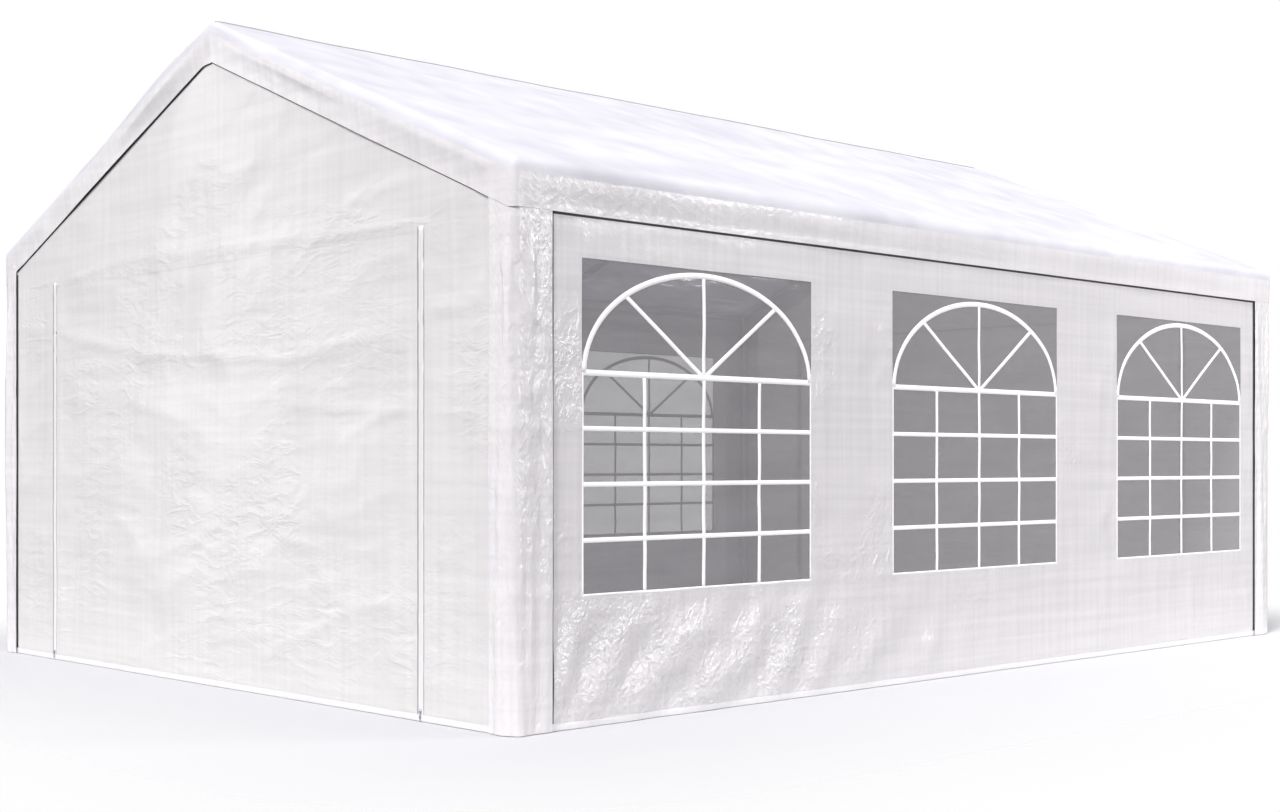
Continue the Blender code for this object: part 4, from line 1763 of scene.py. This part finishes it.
@dataclass
class CornerSleeve(Panel):
    """The strip that wraps a corner leg. Places on it are (along, z), from the side's edge."""

    plan: TentPlan
    side: Side
    end: End
    spacing: float = 0.014
    row_spacing: float = 0.024
    inset: float = 9 * MM
    stitches_off_ground: float = 0.02
    stitches_under_valance: float = 0.03
    crinkled: float = 0.85
    set_back: float = 0.002
    limits: Pair = (-0.0045, 0.011)
    by_valance: Fade = Fade(0.0, 0.25)
    by_edge: Fade = Fade(0.0, 0.03, 0.3)

    def __post_init__(self) -> None:
        """Works out the lengths of the strip, and its upright folds."""
        plan = self.plan
        self.centre_x = plan.sleeve_out_x - SLEEVE_RADIUS
        self.centre_y = plan.sleeve_out_y - SLEEVE_RADIUS
        self.on_side = self.centre_y - plan.sleeve_y
        self.arc = SLEEVE_RADIUS * math.pi / 2
        self.on_gable = self.centre_x - plan.sleeve_x
        self.width = self.on_side + self.arc + self.on_gable
        seed = 401 + 10 * self.side.value + self.end.value
        self.folds = Wrinkles(
            seed=seed, swell=0.0060, swell_size=(0.10, 2.4), creases=44, crease_height=0.0060,
            crease_reach=(0.25, 0.9), crease_width=(0.010, 0.022), crease_tilt=(90.0, 3.0),
            crumple=0.008, crumple_size=(0.07, 0.26),
        )

    def height(self, u: Array, v: Array) -> Array:
        """How far the strip stands out from its plain shape."""
        folds = self.folds.height(u, v, (0.0, self.width, 0.0, self.plan.sleeve_top))
        tucked = self.by_valance.at(self.plan.valance_bottom - v)
        edge = self.by_edge.at(np.minimum(u, self.width - u))
        return np.clip(folds - self.set_back, *self.limits) * tucked * edge

    def creased(self, u: Array, v: Array) -> Array:
        """How crinkled the strip is: alike all over."""
        return np.full_like(u, self.crinkled)

    def point(self, u: Array, v: Array, lift: Array | float = 0.0) -> Array:
        """Points of the tent over places on the strip."""
        radius = SLEEVE_RADIUS + self.height(u, v) + lift
        turn = np.clip((u - self.on_side) / self.arc, 0, 1) * (np.pi / 2)
        past = np.clip(u - self.on_side - self.arc, 0, None)
        before = np.clip(self.on_side - u, 0, None)
        x = self.centre_x + radius * np.cos(turn) - past
        y = self.centre_y + radius * np.sin(turn) - before
        return np.stack([self.side.value * x, self.end.value * y, v], axis=1)

    def build(self) -> None:
        """Makes the strip and its stitching."""
        label = f"{self.end.label}_{self.side.label}"
        plan, bend = self.plan, (self.on_side, self.on_side + self.arc)
        us = graded([0.0, EDGE_ROW, *bend, self.width - EDGE_ROW, self.width], self.spacing)
        zs = graded([plan.hem_z, plan.hem_z + EDGE_ROW, plan.sleeve_top], self.row_spacing)
        flip = self.side.value * self.end.value < 0
        sleeve = grid_sheet(f"sleeve_sheet_{label}", us, zs, self.point, self.creased, (), flip)
        stand_for(f"corner_sleeve_{label}", sleeve, SLEEVE_CLOTH)
        low = plan.hem_z + self.stitches_off_ground
        high = plan.valance_bottom + self.stitches_under_valance
        rows = [((u, low), (u, high)) for u in (self.inset, self.width - self.inset)]
        Stitching().sew(self, f"sleeve_stitching_{label}", rows)


@dataclass
class ShadowLineTape:
    """Painted shadow: dark tape along the border of each wall, standing for the shadow in the gap
    where the wall hangs behind the valances and sleeves, which shows as a fine line round it.
    """

    plan: TentPlan
    tucked: float = 16 * MM
    under_rake: float = 4 * MM
    under_eave: float = 9 * MM
    beside_gable: float = 8 * MM
    beside_side: float = 13 * MM
    thickness: float = 0.8 * MM
    lift: float = 0.3 * MM
    off_ground: float = 0.03

    def on_gable(self, wall: GableWall) -> None:
        """Painted shadow tape up both sleeves and under the gable valance."""
        plan = self.plan
        x = plan.sleeve_x - (self.beside_gable - self.tucked) / 2
        fall = (self.under_rake - self.tucked) / 2 / math.cos(ROOF_ANGLE)
        xs = graded([-x, -APEX_STEP, 0.0, x], SHADOW_LINE_STEP)
        rake = np.stack([xs, plan.gable_valance_bottom(xs) - fall], axis=1)
        top = float(plan.gable_valance_bottom(x)) - fall
        name = f"gable_binding_{wall.end.label}"
        self.bind(wall, name, (x, top), self.beside_gable, rake, self.under_rake)

    def on_side(self, wall: SideWall) -> None:
        """Painted shadow tape up both sleeves and under the eave valance."""
        y = self.plan.sleeve_y - (self.beside_side - self.tucked) / 2
        z = self.plan.valance_bottom - (self.under_eave - self.tucked) / 2
        eave = along_path([(-y, z), (y, z)], SHADOW_LINE_STEP)
        name = f"side_binding_{wall.side.label}"
        self.bind(wall, name, (y, z), self.beside_side, eave, self.under_eave)

    def bind(
        self, wall: Panel, name: str, corner: Pair, upright: float, edge: Array, level: float
    ) -> None:
        """Lays the painted shadow tape up both ends of a wall and along its upper edge.

        Args:
            wall: the wall.
            name: name of the binding.
            corner: upper end of the tape at the wall's right end.
            upright: how much of the upright tapes shows.
            edge: middle line of the tape along the upper edge.
            level: how much of that one shows.
        """
        parts = []
        for sign in (-1, 1):
            at = sign * corner[0]
            foot = (at, self.plan.hem_z + self.off_ground)
            post = along_path([foot, (at, corner[1])], SHADOW_LINE_STEP)
            width = upright + self.tucked
            parts.append(strip_on(wall, "post", post, width, self.thickness, self.lift))
        thickness = self.thickness + LAYER
        parts.append(strip_on(wall, "edge", edge, level + self.tucked, thickness, self.lift))
        dress(join_all(name, parts), SHADOW_LINE_TAPE)


# The steel frame.


@dataclass
class SteelFrame:
    """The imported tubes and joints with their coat, and the bolts that pin the sockets."""

    nodes: dict[str, Thing]
    seat: float = 0.0215
    under_top: float = 0.035
    sharp_from: float = math.radians(30)

    def build(self) -> None:
        """Coats the tubes and adds the bolts."""
        coat = STEEL.material()
        for name, node in self.nodes.items():
            if name.startswith(("leg_", "rafter_", "eave_rail", "ridge_", "corner_joint")):
                node.data.materials.clear()
                node.data.materials.append(coat)
        self.build_bolts()

    def build_bolts(self) -> None:
        """A bolt through each leg's socket, its head towards the middle of the tent."""
        parts = []
        for side in Side:
            aim = Vector((-side.value, 0, 0))
            for row in (1, 2, 3, 4):
                low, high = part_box(f"leg_{side.label}_{row}")
                x = side.value * (max(abs(low.x), abs(high.x)) - TUBE_RADIUS)
                middle_row = row in (2, 3)
                y = (low.y + high.y) / 2 if middle_row else math.copysign(END_LEGS_Y, low.y)
                centre = Vector((x, y, high.z - self.under_top))
                parts.append(self.bolt(centre + aim * self.seat, aim))
        bolts = join_all("socket_bolts", parts)
        bolts.data.set_sharp_from_angle(angle=self.sharp_from)
        dress(bolts, ZINC)

    def bolt(self, seat: Vector, aim: Vector) -> Thing:
        """A washer and a domed hexagon head, pointing along aim."""
        turn = aim.to_track_quat("Z", "Y").to_matrix().to_4x4()
        mesh = bpy.data.meshes.new("bolt")
        # Sides, radius below and above, and where each layer starts and ends, in mm.
        layers = ((16, 8.0, 8.0, 0.0, 1.6), (6, 6.0, 6.0, 1.6, 4.8), (6, 6.0, 3.4, 4.8, 6.2))
        with edited(mesh) as bm:
            for sides, low_radius, high_radius, low, high in layers:
                up = Matrix.Translation((0, 0, (low + high) / 2 * MM))
                bmesh.ops.create_cone(
                    bm, cap_ends=True, segments=sides, radius1=low_radius * MM,
                    radius2=high_radius * MM, depth=(high - low) * MM,
                    matrix=Matrix.Translation(seat) @ turn @ up,
                )
        return linked("bolt", mesh)


# Studio.


@dataclass(frozen=True)
class StudioPaper(Finish):
    """Pale matt paper round the tent, which fades out into the white surroundings."""

    name: str = "studio_floor_paper"
    colour: str = "C8C8CB"
    walls: Triple = (2.2, 3.05, 0.0)
    reach: Pair = (0.15, 2.4)

    def surface(self, tree: Tree, place: Socket) -> Node:
        """Adds the paper, clearer with its distance from the tent's footprint."""
        mirrored = add_node(tree, "VectorMath", {0: place}, operation="ABSOLUTE")
        past = add_node(tree, "VectorMath", {0: mirrored, 1: self.walls}, operation="SUBTRACT")
        nought = (0.0, 0.0, 0.0)
        outside = add_node(tree, "VectorMath", {0: past, 1: nought}, operation="MAXIMUM")
        away = add_node(tree, "VectorMath", {0: outside}, operation="LENGTH").outputs["Value"]
        near, far = self.reach
        span = {"Value": away, "From Min": near, "From Max": far}
        fade = add_node(tree, "MapRange", span, interpolation_type="SMOOTHSTEP")
        matt = {"Base Color": srgb(self.colour), "Roughness": 0.9, "IOR": 1.2}
        paper = add_node(tree, "BsdfPrincipled", matt)
        clear = add_node(tree, "BsdfTransparent")
        return add_node(tree, "MixShader", {0: fade, 1: paper, 2: clear})


@dataclass(frozen=True)
class SoftSun:
    """A far light: the direction to it, its watts a square metre, and its degrees of sky."""

    name: str
    towards: Triple
    strength: float
    spread: float

    def light(self) -> None:
        """Adds the light to the scene."""
        data = bpy.data.lights.new(self.name, "SUN")
        data.energy = self.strength
        data.angle = math.radians(self.spread)
        lamp = linked(self.name, data)
        lamp.rotation_euler = Vector(self.towards).to_track_quat("Z", "Y").to_euler()


@dataclass(frozen=True)
class SoftBox:
    """A rectangular light: where it stands, the point it faces, its size and its watts."""

    name: str
    place: Triple
    aim: Triple
    size: Pair
    power: float

    def light(self) -> None:
        """Adds the light to the scene."""
        data = bpy.data.lights.new(self.name, "AREA")
        data.shape = "RECTANGLE"
        data.size, data.size_y = self.size
        data.energy = self.power
        lamp = linked(self.name, data)
        lamp.location = self.place
        facing = Vector(self.aim) - Vector(self.place)
        lamp.rotation_euler = facing.to_track_quat("-Z", "Y").to_euler()


# The key stands over the camera's left shoulder. The others fill, and sheen off the walls.
LIGHTS = (
    SoftSun("soft_key", (0.21, -0.66, 0.72), 3.1, 12.0),
    SoftSun("soft_back", (-0.70, 0.68, 0.17), 0.65, 36.0),
    SoftSun("soft_sky", (0.05, 0.0, 1.0), 0.85, 70.0),
    SoftSun("low_glint", (0.86, 0.50, 0.14), 0.52, 14.0),
    SoftBox("box_side_fill", (8.2, 4.6, 4.5), (2.2, 0.6, 1.0), (2.2, 2.2), 345.0),
    SoftBox("box_gable_sheen", (-7.4, -7.6, 2.6), (0.0, -3.0, 1.4), (0.8, 5.0), 70.0),
    SoftBox("box_gable_fill", (1.5, -10.0, 5.5), (0.0, -3.0, 2.6), (2.0, 2.0), 120.0),
)


@dataclass
class Studio:
    """Pale floor, white surroundings, lights and the camera."""

    camera_place: Triple = (7.574, -7.546, 1.0625)
    camera_yaw: float = math.radians(46.02)
    lens: float = 50.65
    sensor: float = 36.0
    shift_up: float = 0.0444
    floor_half: float = 7.0
    floor_z: float = -0.5 * MM
    surroundings: float = 0.32
    far_below: float = 0.78
    horizon: Pair = (-0.55, -0.25)

    def build(self) -> None:
        """Sets up the whole studio."""
        self.place_camera()
        for lamp in LIGHTS:
            lamp.light()
        self.lay_floor()
        self.fill_world()
        view = bpy.context.scene.view_settings
        view.view_transform = "Standard"
        view.look = "None"

    def place_camera(self) -> None:
        """The camera, level, in front of the near corner."""
        data = bpy.data.cameras.new("camera")
        data.lens = self.lens
        data.sensor_width = self.sensor
        data.shift_y = self.shift_up
        camera = linked("camera", data)
        camera.location = self.camera_place
        camera.rotation_euler = (math.pi / 2, 0.0, self.camera_yaw)
        bpy.context.scene.camera = camera

    def lay_floor(self) -> None:
        """The paper that the tent stands on, a hair below its feet."""
        mesh = bpy.data.meshes.new("studio_floor")
        with edited(mesh) as bm:
            bmesh.ops.create_grid(bm, x_segments=1, y_segments=1, size=self.floor_half)
        mesh.materials.append(StudioPaper().material())
        floor = linked("studio_floor", mesh)
        floor.location.z = self.floor_z

    def fill_world(self) -> None:
        """White round the horizon, pale grey far below it, and an even soft light on the tent."""
        world = bpy.data.worlds.new("studio_white")
        tree = empty_tree(world)
        heading = add_node(tree, "TexCoord").outputs["Generated"]
        up = add_node(tree, "SeparateXYZ", {0: heading}).outputs["Z"]
        low, high = self.horizon
        span = {"Value": up, "From Min": low, "From Max": high, "To Min": self.far_below}
        ground = add_node(tree, "MapRange", span, interpolation_type="SMOOTHSTEP")
        seen = add_node(tree, "Background", {"Color": srgb("FFFFFF"), "Strength": ground})
        lit = add_node(tree, "Background", {"Color": srgb("FEFDFF"), "Strength": self.surroundings})
        camera_ray = add_node(tree, "LightPath").outputs["Is Camera Ray"]
        both = add_node(tree, "MixShader", {0: camera_ray, 1: lit, 2: seen})
        add_node(tree, "OutputWorld", {"Surface": both})
        bpy.context.scene.world = world


def main() -> None:
    """Builds the tent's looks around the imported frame."""
    logging.basicConfig(level=logging.INFO, format="%(name)s: %(message)s")
    # Blender's own default objects aren't part of the tent.
    for old in list(bpy.data.objects):
        bpy.data.objects.remove(old)
    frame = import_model()
    plan = TentPlan.read()
    Studio().build()
    SteelFrame(frame["nodes"]).build()
    log.info("steel frame coated and bolted")
    RoofCover(plan).build()
    log.info("roof cover hung")
    # Dark tape that paints the shadow line round each wall.
    shadow_lines = ShadowLineTape(plan)
    for end in End:
        gable = GableWall(plan, end)
        gable.build()
        shadow_lines.on_gable(gable)
        log.info("%s gable closed", end.label)
    for side in Side:
        wall = SideWall(plan, side)
        wall.build()
        shadow_lines.on_side(wall)
        log.info("%s wall hung", side.label)
        for end in End:
            CornerSleeve(plan, side, end).build()
    log.info("corners wrapped")


if __name__ == "__main__":
    main()
